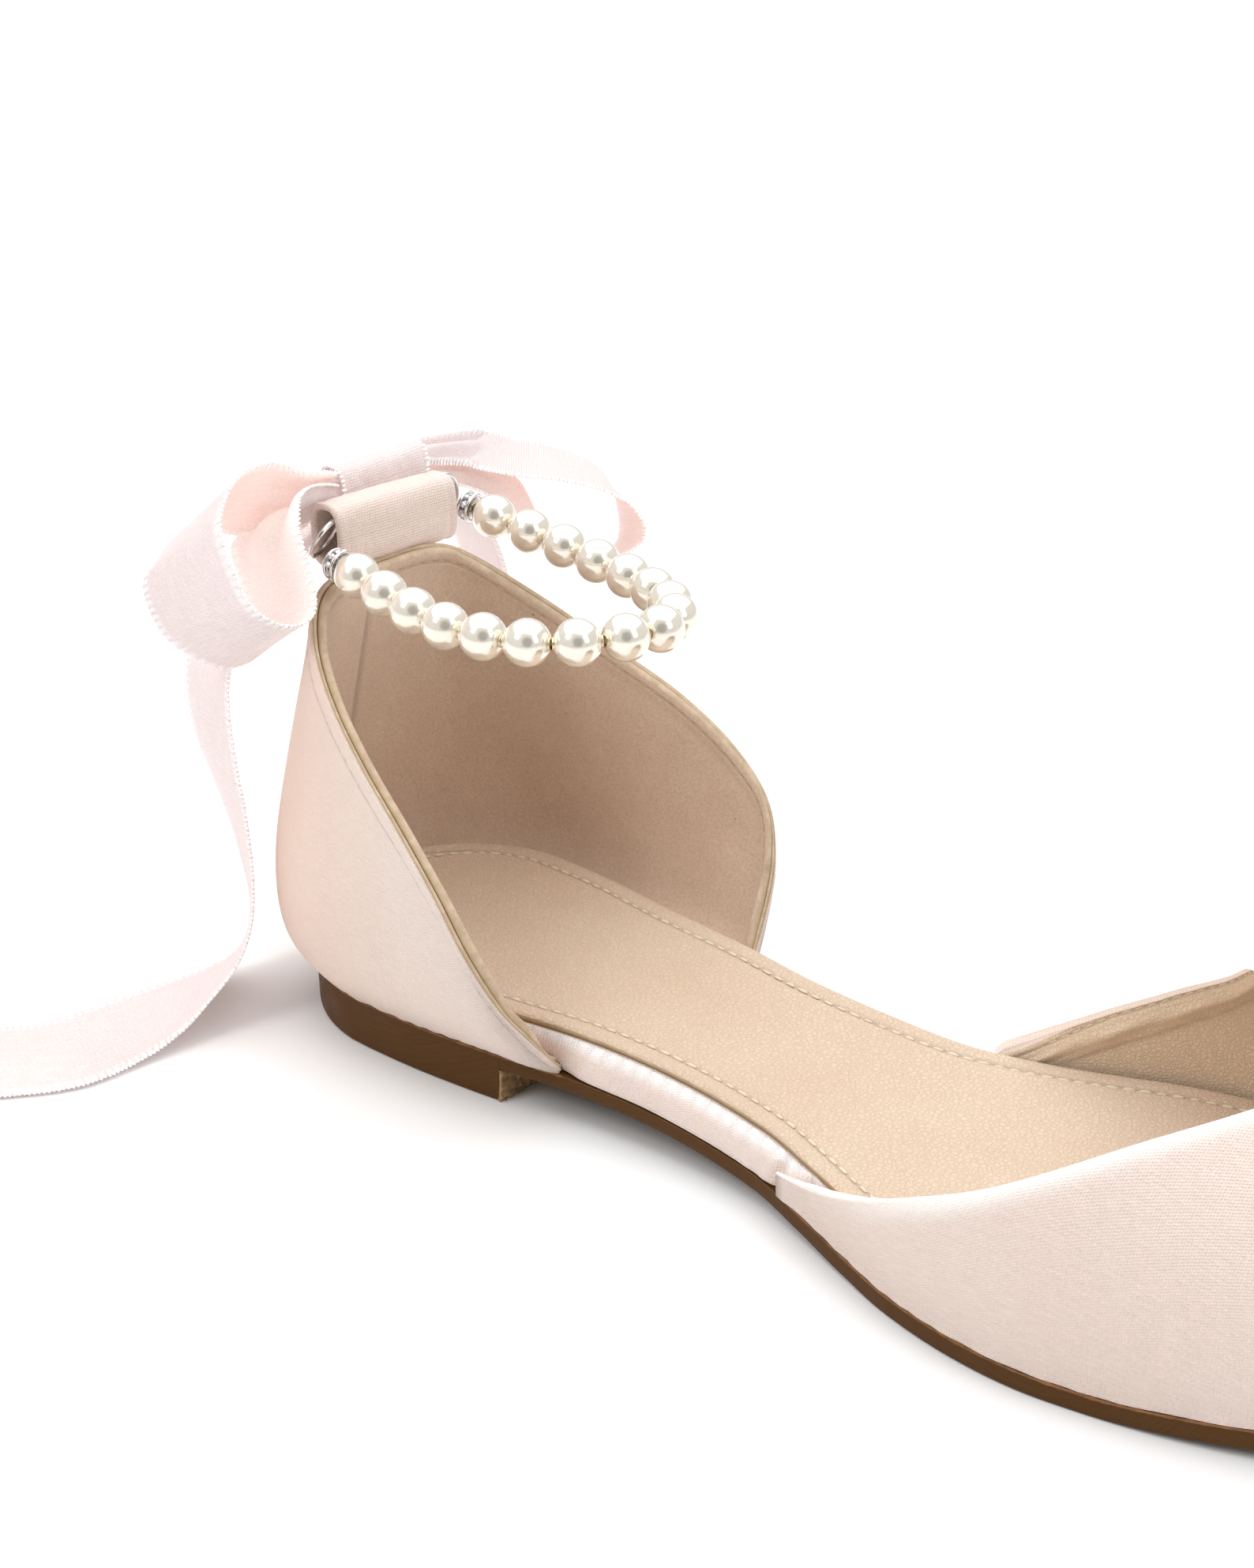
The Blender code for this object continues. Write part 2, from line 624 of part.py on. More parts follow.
# ---- ankle strand ------------------------------------------------------------------------
def strand_joints():
    """The wire's corners: its outer end, the gaps between pearls, and its inner end.

    The steps are eased until the pearls' centres lie evenly, round the tight front too.
    """
    line = curve_through(STRAND_ROUTE, 400)
    travel = np.concatenate([[0.0], np.cumsum(np.linalg.norm(np.diff(line, axis=0), axis=1))])
    length = travel[-1] - OUTER_LEAD - INNER_LEAD
    steps = np.full(PEARL_COUNT, length / PEARL_COUNT)
    for _ in range(25):
        wanted = OUTER_LEAD + np.concatenate([[0.0], np.cumsum(steps)])
        joints = np.column_stack([np.interp(wanted, travel, line[:, k]) for k in range(3)])
        centres = 0.5 * (joints[1:] + joints[:-1])
        pitch = np.linalg.norm(np.diff(centres, axis=0), axis=1)
        near = np.convolve(np.concatenate([pitch[:1], pitch, pitch[-1:]]), [0.5, 0.5], "valid")
        steps *= pitch.mean() / near
        steps *= length / steps.sum()
    return np.vstack([line[0], joints, line[-1]])


def turned(name, profile, steps):
    """An object mesh turned from a closed profile of (radius, height) round Z."""
    mesh = bpy.data.meshes.new(name)
    edges = [(i, (i + 1) % len(profile)) for i in range(len(profile))]
    mesh.from_pydata([(radius * MM, 0.0, height * MM) for radius, height in profile], edges, [])
    return mesh, steps


def spin(obj, steps):
    """Turn a profile into a body."""
    screw = obj.modifiers.new("turn", "SCREW")
    screw.steps = steps
    screw.render_steps = steps
    screw.use_merge_vertices = True
    screw.merge_threshold = 0.00001
    return screw


def place_along(obj, centre, direction):
    """Put an object's Z axis along direction at centre."""
    obj.rotation_mode = "QUATERNION"
    obj.rotation_quaternion = Vector((0, 0, 1)).rotation_difference(Vector(direction))
    obj.location = Vector(centre) * MM


def make_strand(collection):
    """Wire, pearls and the crystal rondelles at its ends."""
    joints = strand_joints()
    radius = 0.5 * PEARL_DIAMETER
    reach = math.acos(BORE_RADIUS / radius)
    arc = [(radius * math.cos(a), radius * math.sin(a)) for a in np.linspace(reach, -reach, 8)]
    pearl_mesh, steps = turned("pearl", arc, 12)
    for i in range(PEARL_COUNT):
        start, end = joints[i + 1], joints[i + 2]
        pearl = new_object("pearl_%02d" % (i + 1), pearl_mesh.copy(), "pearl", collection)
        spin(pearl, steps)
        place_along(pearl, 0.5 * (start + end), end - start)
    half = 0.5 * RONDELLE_THICKNESS
    side = RONDELLE_RADIUS - 0.8
    profile = [(BORE_RADIUS, half), (side, half), (RONDELLE_RADIUS, 0.6),
               (RONDELLE_RADIUS, -0.6), (side, -half), (BORE_RADIUS, -half)]
    ends = (("rondelle_outer", joints[1], joints[0]), ("rondelle_inner", joints[-2], joints[-1]))
    for name, pearl_side, ring_side in ends:
        mesh, steps = turned(name, profile, 16)
        rondelle = new_object(name, mesh, "silver", collection)
        spin(rondelle, steps)
        way = (ring_side - pearl_side) / np.linalg.norm(ring_side - pearl_side)
        place_along(rondelle, pearl_side + way * (half + 0.5 * PEARL_GAP), way)
    return make_wire(joints, collection)


def make_wire(joints, collection):
    """Bead wire through the bores, straight inside each pearl."""
    curve = bpy.data.curves.new("strand_wire", "CURVE")
    curve.dimensions = "3D"
    curve.bevel_depth = WIRE_RADIUS * MM
    curve.bevel_resolution = 2
    curve.use_fill_caps = True
    spline = curve.splines.new("POLY")
    spline.points.add(len(joints) - 1)
    for point, joint in zip(spline.points, joints):
        point.co = (*(Vector(joint) * MM), 1.0)
    return new_object("strand_wire", curve, "silver", collection)


def make_ring(name, centre, collection):
    """Silver ring in the mouth of the tab's tunnel."""
    bpy.ops.mesh.primitive_torus_add(
        major_radius=RING_RADIUS * MM, minor_radius=RING_WIRE * MM,
        major_segments=20, minor_segments=6,
        location=Vector(centre) * MM, rotation=(0.0, math.pi / 2, 0.0),
    )
    made = bpy.context.object
    obj = new_object(name, made.data, "silver", collection)
    obj.matrix_world = made.matrix_world.copy()
    bpy.data.objects.remove(made)
    return obj


def main():
    """Build every piece in the shoe's collection."""
    clear_scene()
    collection = bpy.data.collections.new("pointed_toe_flat")
    bpy.context.scene.collection.children.link(collection)
    make_outsole(collection)
    make_heel_block(collection)
    make_insole_board(collection)
    make_insole_sock(collection)
    make_vamp(collection)
    make_quarter(collection)
    make_heel_tab(collection)
    make_knot(collection)
    make_ribbon("ribbon_loop_outer", LOOP_OUTER, 44, collection)
    make_ribbon("ribbon_loop_inner", LOOP_INNER, 40, collection)
    make_ribbon("ribbon_tail_outer", TAIL_OUTER, 40, collection)
    make_ribbon("ribbon_tail_inner", TAIL_INNER, 36, collection)
    make_strand(collection)
    ring_z = STRAND_ROUTE[0][2] + RING_RADIUS * 0.5
    make_ring("ring_outer", (-25.5, TAB_ENDS[0] - 0.4, ring_z), collection)
    make_ring("ring_inner", (-26.3, TAB_ENDS[1] + 0.4, ring_z), collection)


main()
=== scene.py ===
"""Looks of the pointed toe flat: satin upper, leather bottom, ribbon bow and pearl ankle strand.

Lengths in the tables are millimetres, and MM turns them into metres.
"""
import math

import bmesh
import bpy
import numpy as np
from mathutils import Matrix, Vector, noise


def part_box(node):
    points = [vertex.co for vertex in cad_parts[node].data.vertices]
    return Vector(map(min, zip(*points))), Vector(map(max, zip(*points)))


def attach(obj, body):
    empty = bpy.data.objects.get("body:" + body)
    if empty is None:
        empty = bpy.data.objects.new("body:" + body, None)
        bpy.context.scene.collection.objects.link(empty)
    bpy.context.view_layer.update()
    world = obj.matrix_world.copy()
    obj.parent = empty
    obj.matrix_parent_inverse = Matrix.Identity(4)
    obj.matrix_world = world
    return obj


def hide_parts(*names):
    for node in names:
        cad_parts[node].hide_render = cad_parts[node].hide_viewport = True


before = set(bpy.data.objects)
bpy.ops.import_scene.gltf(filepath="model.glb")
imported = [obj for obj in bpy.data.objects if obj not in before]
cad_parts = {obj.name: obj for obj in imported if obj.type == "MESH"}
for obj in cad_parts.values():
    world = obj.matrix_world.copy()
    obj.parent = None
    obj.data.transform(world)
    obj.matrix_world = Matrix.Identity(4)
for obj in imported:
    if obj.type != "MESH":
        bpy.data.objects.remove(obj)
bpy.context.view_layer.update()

MM = 0.001

# ---- shapes shared with the pattern of the shoe ---------------------------------------------
HEEL_CENTRE_X = -2.0
HEEL_RADIUS = 28.9
TIP_CENTRE = (226.2, 5.95)
TIP_RADIUS = 3.0

# Sole: x, outer edge y, inner edge y, top z, bottom z
SOLE_ROWS = [
    (-2.0, -28.9, 28.9, 9.5, 6.6),
    (12.0, -28.3, 28.4, 9.5, 6.6),
    (30.0, -26.1, 26.2, 9.5, 6.6),
    (46.0, -22.8, 25.5, 9.0, 6.1),
    (64.0, -20.7, 25.0, 7.6, 4.7),
    (82.0, -20.6, 26.5, 5.9, 2.8),
    (93.0, -24.1, 28.5, 4.9, 1.6),
    (105.0, -27.9, 33.2, 4.0, 0.5),
    (116.0, -31.2, 38.5, 3.5, 0.0),
    (128.0, -33.2, 43.8, 3.5, 0.0),
    (140.0, -33.3, 47.2, 3.5, 0.0),
    (151.0, -31.4, 47.9, 3.5, 0.0),
    (163.0, -28.4, 45.3, 4.3, 0.8),
    (175.0, -24.2, 39.6, 5.4, 1.9),
    (187.0, -19.0, 32.8, 6.7, 3.2),
    (199.0, -12.8, 25.7, 8.1, 4.6),
    (211.0, -6.1, 18.6, 9.6, 6.1),
    (222.0, 0.1, 12.1, 11.1, 7.6),
    (227.7, 3.34, 8.56, 12.0, 8.5),
]

# Last over the forepart: x, height of the crest
CREST_ROWS = [
    (85.0, 66.0),
    (110.0, 62.5),
    (130.0, 57.5),
    (150.0, 50.8),
    (170.0, 43.5),
    (190.0, 35.5),
    (205.0, 28.8),
    (215.0, 24.0),
    (222.0, 20.8),
    (226.5, 18.0),
    (228.6, 15.4),
    (229.15, 13.0),
]

# Vamp: foot x, rim x, rim place across (1 at the feather line, 0 on the crest)
VAMP_OUTER = [
    (89.0, 89.0, 0.970),
    (96.5, 96.0, 0.955),
    (107.0, 106.0, 0.905),
    (119.0, 118.0, 0.820),
    (132.0, 130.5, 0.715),
    (147.0, 141.0, 0.590),
    (163.0, 150.0, 0.450),
    (180.0, 157.0, 0.315),
    (198.0, 162.5, 0.170),
    (214.0, 165.8, 0.070),
    (224.0, 166.8, 0.020),
]
VAMP_INNER = [
    (95.0, 95.0, 0.945),
    (102.0, 102.0, 0.895),
    (112.0, 112.0, 0.815),
    (124.0, 123.0, 0.718),
    (137.0, 134.0, 0.578),
    (151.0, 142.4, 0.370),
    (167.0, 150.7, 0.232),
    (183.0, 157.5, 0.145),
    (199.0, 162.8, 0.080),
    (214.0, 165.9, 0.035),
    (224.0, 166.8, 0.012),
]
THROAT_X = 167.0

# Quarter: foot x, belly x, belly half width, belly z, topline x, topline half width, topline z
QUARTER_ROWS = [
    (-30.8, -35.7, 0.0, 28.0, -23.5, 0.0, 81.5),
    (-29.0, -34.2, 11.8, 28.0, -23.0, 9.0, 81.5),
    (-24.3, -29.3, 22.4, 28.0, -21.4, 15.6, 80.6),
    (-16.7, -20.3, 30.6, 28.0, -18.4, 20.6, 77.8),
    (-7.9, -9.4, 34.7, 28.0, -12.6, 25.6, 73.0),
    (2.0, 2.0, 35.6, 28.0, -4.0, 30.2, 67.2),
    (12.5, 13.5, 35.6, 27.0, 7.0, 34.2, 60.4),
    (22.5, 24.0, 35.7, 26.0, 18.0, 37.3, 53.8),
    (30.5, 32.0, 35.5, 24.0, 28.0, 39.2, 45.6),
    (36.5, 37.3, 34.2, 20.5, 35.0, 39.3, 36.5),
    (39.8, 40.2, 31.0, 17.0, 39.0, 35.6, 26.5),
    (41.5, 41.8, 27.5, 13.6, 41.2, 29.5, 17.5),
    (42.3, 42.4, 25.0, 11.6, 42.2, 25.6, 13.4),
]
INNER_TIP_STRETCH = 0.11

# Ribbon routes: near edge x, y, z, then the way across to the far edge
LOOP_OUTER = [
    (-32.0, -0.6, 96.9, -4.2, 0.0, -4.4),
    (-30.0, -10.6, 100.0, -6.0, 5.0, -13.0),
    (-28.0, -18.3, 103.8, -11.5, 3.4, -17.1),
    (-27.7, -25.8, 103.4, -16.7, 0.4, -14.3),
    (-26.8, -31.0, 100.0, -17.5, -2.5, -14.8),
    (-24.7, -34.0, 95.0, -19.4, -2.6, -13.4),
    (-20.0, -33.5, 84.5, -20.8, -2.7, -10.2),
    (-16.0, -31.8, 81.1, -20.5, -2.1, -11.0),
    (-14.0, -29.3, 79.9, -19.3, -1.3, -12.3),
    (-13.8, -25.8, 79.6, -18.3, -0.8, -12.8),
    (-14.4, -23.2, 80.6, -17.7, 1.1, -13.1),
    (-15.5, -21.7, 83.1, -18.4, 2.7, -12.0),
    (-17.6, -20.9, 87.3, -18.1, 1.7, -12.1),
    (-19.3, -20.8, 91.8, -18.1, 0.6, -10.5),
    (-21.0, -19.4, 95.4, -16.7, -1.0, -8.6),
    (-23.5, -16.4, 97.6, -13.0, 1.0, -9.3),
    (-26.0, -11.8, 97.6, -9.0, 3.0, -10.0),
    (-29.0, -5.5, 95.8, -6.0, 1.5, -7.5),
    (-30.9, -0.6, 94.0, -3.6, 0.0, -4.4),
]
LOOP_INNER = [
    (-31.5, 22.2, 92.9, -4.5, 0.0, 3.4),
    (-31.0, 32.4, 89.9, -12.0, 15.4, 0.8),
    (-27.0, 41.6, 86.6, -15.5, 17.0, 0.0),
    (-22.0, 50.0, 84.5, -16.0, 16.5, -0.5),
    (-17.0, 55.6, 82.4, -16.0, 16.0, -2.0),
    (-14.0, 59.8, 79.6, -16.0, 14.5, -4.5),
    (-12.0, 61.5, 76.8, -16.5, 13.0, -6.5),
    (-11.0, 62.3, 73.7, -17.0, 12.0, -7.0),
    (-12.0, 62.0, 70.4, -17.0, 12.0, -7.0),
    (-14.5, 58.6, 68.2, -17.0, 12.5, -6.0),
    (-18.5, 52.3, 69.4, -17.0, 13.0, -4.0),
    (-23.0, 46.5, 73.4, -16.0, 13.5, -1.0),
    (-27.0, 42.5, 79.0, -14.0, 13.5, 1.0),
    (-30.0, 37.0, 83.8, -11.0, 11.0, 1.5),
    (-31.4, 30.0, 87.2, -7.0, 5.5, 1.6),
    (-31.5, 22.2, 89.5, -4.4, 0.0, 1.6),
]
TAIL_OUTER = [
    (-31.6, 4.0, 88.2, -4.5, 0.0, 0.0),
    (-32.2, -2.0, 86.8, -8.0, 1.0, -2.5),
    (-33.0, -10.0, 82.5, -14.0, 3.0, -5.5),
    (-34.5, -19.0, 75.0, -18.5, 6.0, -6.5),
    (-34.2, -26.0, 66.5, -21.0, 8.0, -5.0),
    (-32.0, -29.4, 58.9, -22.0, 8.5, -3.0),
    (-29.0, -31.2, 50.0, -22.0, 9.0, -3.0),
    (-26.6, -31.8, 41.0, -21.0, 10.5, -4.0),
    (-24.6, -32.8, 31.5, -19.0, 12.5, -7.0),
    (-23.4, -35.0, 21.5, -17.0, 14.0, -8.5),
    (-23.7, -39.0, 13.5, -16.5, 14.5, -8.0),
    (-25.5, -45.0, 7.2, -17.5, 14.5, -5.0),
    (-26.6, -52.0, 3.2, -19.5, 13.0, -2.0),
    (-27.8, -61.0, 1.2, -21.5, 10.5, -0.4),
    (-30.0, -72.0, 0.9, -22.0, 9.5, 0.0),
    (-38.0, -83.0, 0.8, -20.0, 13.0, 0.0),
    (-48.0, -93.0, 0.8, -17.5, 16.5, 0.0),
    (-60.0, -104.0, 0.8, -16.5, 17.5, 0.0),
]
TAIL_INNER = [
    (-31.6, 17.0, 88.2, -4.5, 0.0, 0.0),
    (-31.8, 24.0, 86.0, -8.0, 1.0, -2.0),
    (-32.0, 33.0, 81.0, -15.0, 4.5, -5.0),
    (-32.2, 40.0, 74.5, -20.0, 8.0, -5.0),
    (-32.8, 44.5, 66.0, -22.0, 9.0, -2.5),
    (-33.4, 47.3, 56.0, -22.5, 8.0, -1.0),
    (-34.5, 49.5, 43.0, -23.0, 3.0, -1.0),
    (-36.0, 51.5, 29.0, -22.5, -4.0, -3.0),
    (-38.5, 54.0, 16.0, -20.5, -11.0, -4.5),
    (-43.0, 59.0, 6.5, -18.5, -15.0, -3.0),
    (-50.0, 66.5, 1.6, -17.5, -16.4, -0.5),
    (-61.0, 78.0, 0.9, -17.3, -16.6, 0.0),
    (-76.0, 93.5, 0.8, -17.3, -16.6, 0.0),
    (-91.0, 109.0, 0.8, -17.3, -16.6, 0.0),
]

RIBBON_WIDTH = 24.0
RIBBON_WALL = 0.45
SATIN_WALL = 1.0
PEARL_COUNT = 17
PEARL_DIAMETER = 8.25
RING_WIRE = 0.5
RING_AXIS = (-0.819, -0.282, 0.499)


# ---- shaping helpers ------------------------------------------------------------------------
def blend_curve(t, start, leave, end, arrive):
    """Point at t, 0 to 1, on the way from start to end, with its directions at both."""
    return (start * (2 * t**3 - 3 * t**2 + 1) + leave * (t**3 - 2 * t**2 + t)
            + end * (3 * t**2 - 2 * t**3) + arrive * (t**3 - t**2))


def monotone(xs, ys, x, loose=False):
    """Value at x of the smooth curve through (xs, ys) that never overshoots them.

    A loose curve turns more evenly, and may pass its points a little.
    """
    xs = np.asarray(xs, float)
    ys = np.asarray(ys, float)
    x = min(max(x, xs[0]), xs[-1])
    slopes = np.diff(ys) / np.diff(xs)
    tangents = np.zeros(len(xs))
    tangents[0] = slopes[0]
    tangents[-1] = slopes[-1]
    for i in range(1, len(xs) - 1):
        before, after = slopes[i - 1], slopes[i]
        if loose:
            tangents[i] = (ys[i + 1] - ys[i - 1]) / (xs[i + 1] - xs[i - 1])
        elif before * after > 0:
            tangents[i] = 2.0 * before * after / (before + after)
    i = min(int(np.searchsorted(xs, x, side="right")) - 1, len(xs) - 2)
    step = xs[i + 1] - xs[i]
    return float(blend_curve((x - xs[i]) / step, ys[i], tangents[i] * step,
                             ys[i + 1], tangents[i + 1] * step))


def at_x(rows, column, x):
    """Value at x of one column of a table whose first column is x."""
    return monotone([row[0] for row in rows], [row[column] for row in rows], x)


def travel_of(points):
    """Distance run along points, from 0."""
    steps = np.linalg.norm(np.diff(points, axis=0), axis=1)
    return np.concatenate([[0.0], np.cumsum(steps)])


def curve_through(rows, count, measure=None):
    """Rows resampled to count even steps along the smooth curve that runs through them."""
    rows = np.asarray(rows, float)
    padded = np.vstack([2 * rows[0] - rows[1], rows, 2 * rows[-1] - rows[-2]])
    fine = []
    for i in range(1, len(padded) - 2):
        before, start, end, after = padded[i - 1:i + 3]
        for t in np.linspace(0.0, 1.0, 24, endpoint=False):
            fine.append(0.5 * (
                2 * start + (end - before) * t
                + (2 * before - 5 * start + 4 * end - after) * t**2
                + (3 * start - before - 3 * end + after) * t**3
            ))
    fine.append(rows[-1])
    fine = np.array(fine)
    travel = travel_of(fine if measure is None else np.array([measure(row) for row in fine]))
    wanted = np.linspace(0.0, travel[-1], count)
    return np.column_stack([np.interp(wanted, travel, fine[:, k]) for k in range(rows.shape[1])])


def ease(value, low, high):
    """0 below low, 1 above high, smooth between them."""
    t = np.clip((np.asarray(value, float) - low) / (high - low), 0.0, 1.0)
    return t * t * (3.0 - 2.0 * t)


def bell(value, middle, width):
    """1 at middle, fading to 0 on both sides over about twice width."""
    return np.exp(-((value - middle) / width) ** 2)


def rounded(share):
    """Rise of a quarter circle: steep at 0, level at 1."""
    return np.sqrt(1.0 - (1.0 - share) ** 2)


def ripple(points, size, seed=0.0):
    """Soft unevenness from -1 to 1 at each point, with lumps about size long."""
    flat = np.asarray(points, float).reshape(-1, 3) / size + seed
    values = np.array([noise.noise(Vector(p)) for p in flat])
    return values.reshape(np.asarray(points).shape[:-1])


def unit(vectors):
    """Vectors at length one."""
    vectors = np.asarray(vectors, float)
    return vectors / np.maximum(np.linalg.norm(vectors, axis=-1, keepdims=True), 1e-9)


def pushed(points, ways, distance):
    """Points moved along their ways by a distance."""
    return points + ways * np.asarray(distance)[..., None]


def shortened(grid, shares):
    """A grid whose rows are drawn in to shares of their length, towards their first point."""
    foot = grid[:, :1]
    return foot + (grid - foot) * np.reshape(shares, (-1, 1, 1))


def between(first, second):
    """Nine even points from first to second."""
    return [tuple(a + (b - a) * share for a, b in zip(first, second))
            for share in np.linspace(0.0, 1.0, 9)]


def ring_round(centre, side, rise, radius, count):
    """Points of a ring in the plane of side and rise."""
    return [centre + radius * (math.cos(angle) * side + math.sin(angle) * rise)
            for angle in np.linspace(0.0, 2.0 * math.pi, count, endpoint=False)]


def squared_oval(angle, half, squareness):
    """X and z on an oval with full corners: 2 is a true oval, more is squarer."""
    power = 2.0 / squareness
    return [reach * math.copysign(abs(value) ** power, value)
            for reach, value in ((half[0], math.cos(angle)), (half[2], math.sin(angle)))]


def box_corners(node):
    """Low and high corner of a solid's box, in millimetres."""
    return [np.array(corner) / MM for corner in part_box(node)]


def box_middle(node):
    """Centre and half size of a solid's box, in millimetres."""
    low, high = box_corners(node)
    return 0.5 * (low + high), 0.5 * (high - low)


def edge_y(x, side):
    """Y of the sole's edge at x: side -1 is the outer edge, +1 the inner."""
    if x < HEEL_CENTRE_X:
        return side * math.sqrt(max(HEEL_RADIUS**2 - (x - HEEL_CENTRE_X) ** 2, 0.0))
    if x > SOLE_ROWS[-1][0]:
        reach = math.sqrt(max(TIP_RADIUS**2 - (x - TIP_CENTRE[0]) ** 2, 0.0))
        return TIP_CENTRE[1] + side * reach
    column = 1 if side < 0 else 2
    shift = {72.0: -0.1, 82.0: -0.7} if side < 0 else {}
    return monotone([row[0] for row in SOLE_ROWS],
                    [row[column] + shift.get(row[0], 0.0) for row in SOLE_ROWS], x, True)


def feather_z(x):
    """Height of the line where upper meets sole."""
    return at_x(SOLE_ROWS, 3, x)


def bottom_z(x):
    """Height of the sole's underside."""
    return at_x(SOLE_ROWS, 4, x)


def edge_pairs(inset, end_x, steps):
    """Outer and inner edge points, heel to end_x, moved in by inset (a number or f(x))."""
    shift = inset if callable(inset) else (lambda x: inset)
    pairs = []
    for degrees in np.linspace(3.0, 84.0, 22):
        angle = math.radians(degrees)
        radius = HEEL_RADIUS - shift(HEEL_CENTRE_X)
        x = HEEL_CENTRE_X - radius * math.cos(angle)
        y = radius * math.sin(angle)
        pairs.append(((x, -y), (x, y)))
    for x in np.linspace(HEEL_CENTRE_X + 1.5, end_x, steps):
        pair = []
        for side in (-1, 1):
            slope = edge_y(x + 0.5, side) - edge_y(x - 0.5, side)
            move = side * shift(x) / math.hypot(1.0, slope)
            pair.append((x + slope * move, edge_y(x, side) - move))
        pairs.append(tuple(pair))
    return pairs


def tip_pairs(inset):
    """Edge points round the tip of the sole."""
    pairs = []
    for degrees in (75, 60, 45, 30, 15, 4):
        angle = math.radians(degrees)
        x = TIP_CENTRE[0] + (TIP_RADIUS - inset) * math.cos(angle)
        y = (TIP_RADIUS - inset) * math.sin(angle)
        pairs.append(((x, TIP_CENTRE[1] - y), (x, TIP_CENTRE[1] + y)))
    return pairs


# ---- mesh helpers ---------------------------------------------------------------------------
def put_in_scene(name, data):
    """A new object of the scene."""
    obj = bpy.data.objects.new(name, data)
    bpy.context.scene.collection.objects.link(obj)
    return obj


def build(name, verts, faces, corners, finishes, parts=None, sharp=50.0, marks=None):
    """An object from points in millimetres, with cloth coordinates in millimetres."""
    mesh = bpy.data.meshes.new(name)
    mesh.from_pydata((np.asarray(verts) * MM).tolist(), [], faces)
    layer = mesh.uv_layers.new(name="weave")
    layer.data.foreach_set("uv", np.asarray(corners, float).ravel())
    if parts is not None:
        mesh.polygons.foreach_set("material_index", parts)
    if marks is not None:
        seam = mesh.attributes.new("seam", "FLOAT", "POINT")
        seam.data.foreach_set("value", np.clip(np.asarray(marks, float).ravel(), -1.0, 1.0))
    bm = bmesh.new()
    bm.from_mesh(mesh)
    bmesh.ops.recalc_face_normals(bm, faces=bm.faces[:])
    bm.to_mesh(mesh)
    bm.free()
    mesh.shade_smooth()
    mesh.set_sharp_from_angle(angle=math.radians(sharp))
    for finish in finishes if isinstance(finishes, list) else [finishes]:
        mesh.materials.append(finish)
    return put_in_scene(name, mesh)


def skin_tube(name, loops, finishes, closed=False, paint=None, sharp=50.0, caps="pairs",
              marks=None, lay=None):
    """A closed body through closed sections. paint(k) gives the finish of the k-th strip.

    marks, one for each point, paint light into the finish: painted shade where a seam or fold
    gathers shade, and on satin a painted highlight where they are below 0; on satin with ribs
    they raise the ribs and lighten the cloth. lay gives the cloth's own millimetres at every
    point, where they don't follow the sections.
    """
    loops = np.asarray(loops, float)
    rows, across = loops.shape[:2]
    travel = travel_of(loops.mean(axis=1) if not closed else loops[:, 0])
    if closed:
        travel = np.append(travel, travel[-1] + np.linalg.norm(loops[-1, 0] - loops[0, 0]))
    ring = np.concatenate([loops, loops[:, :1]], axis=1)
    round_it = np.array([travel_of(section) for section in ring])
    faces, corners, parts = [], [], []
    for i in range(rows if closed else rows - 1):
        j = (i + 1) % rows
        for k in range(across):
            m = (k + 1) % across
            faces.append((i * across + k, i * across + m, j * across + m, j * across + k))
            corners += [
                (travel[i], round_it[i, k]), (travel[i], round_it[i, k + 1]),
                (travel[i + 1], round_it[j, k + 1]), (travel[i + 1], round_it[j, k]),
            ]
            parts.append(paint(k) if paint else 0)
    if not closed:
        for i, spot in ((0, travel[0]), (rows - 1, travel[-1])):
            if caps == "pairs":
                for a in range(across // 2 - 1):
                    faces.append(tuple(i * across + k
                                       for k in (a, a + 1, across - 2 - a, across - 1 - a)))
                    corners += [(spot, round_it[i, a])] * 4
                    parts.append(paint(a) if paint else 0)
            else:
                faces.append(tuple(i * across + k for k in range(across)))
                corners += [(spot, round_it[i, k]) for k in range(across)]
                parts.append(0)
    points = loops.reshape(-1, 3)
    if lay:
        flat = lay(points)
        corners = [tuple(flat[v]) for face in faces for v in face]
    return build(name, points, faces, corners, finishes, parts, sharp, marks)


def straight_grain(points):
    """Cloth laid with its grain along the shoe, and wrapped down over both sides."""
    return np.stack([points[:, 0], 40.0 * np.arctan2(points[:, 1], points[:, 2] + 12.0)], axis=1)


def skin_normals(points):
    """Unit normals of a grid of points, away from the grid's middle."""
    normals = unit(np.cross(np.gradient(points, axis=0), np.gradient(points, axis=1)))
    if np.sum(normals * (points - points.reshape(-1, 3).mean(axis=0))) < 0:
        normals = -normals
    return normals


def half_round(first, second, away, count):
    """Points over an edge from first to second, bulging along away."""
    middle, arm = 0.5 * (first + second), 0.5 * (first - second)
    reach = np.linalg.norm(arm, axis=1, keepdims=True)
    return [middle + arm * math.cos(angle) + away * reach * math.sin(angle)
            for angle in np.linspace(0.0, math.pi, count + 2)[1:-1]]


def wall_loops(outer, inner, top_points=6, foot_points=0):
    """Closed sections of a wall: up its outer face, over the top edge and down the inner."""
    top_away = unit(outer[:, -1] - outer[:, -2])
    foot_away = unit(outer[:, 0] - outer[:, 1])
    columns = [outer[:, j] for j in range(outer.shape[1])]
    columns += half_round(outer[:, -1], inner[:, -1], top_away, top_points)
    columns += [inner[:, j] for j in range(inner.shape[1] - 1, -1, -1)]
    if foot_points:
        low = half_round(inner[:, 0], outer[:, 0], foot_away, foot_points)
        half = foot_points // 2
        columns = low[half:] + columns + low[:half]
    return np.stack(columns, axis=1)


def wall_marks(outer, inner, top_points=6, line=None):
    """Marks in the order of wall_loops, without a rounded foot; line gives the top edge's."""
    over = np.linspace(0.0, 1.0, top_points + 2)[1:-1]
    edge = outer[:, -1:] * (1.0 - over) ** 3 + inner[:, -1:] * over**3
    edge = edge if line is None else np.tile(line, (len(outer), 1))
    return np.concatenate([outer, edge, inner[:, ::-1]], axis=1)


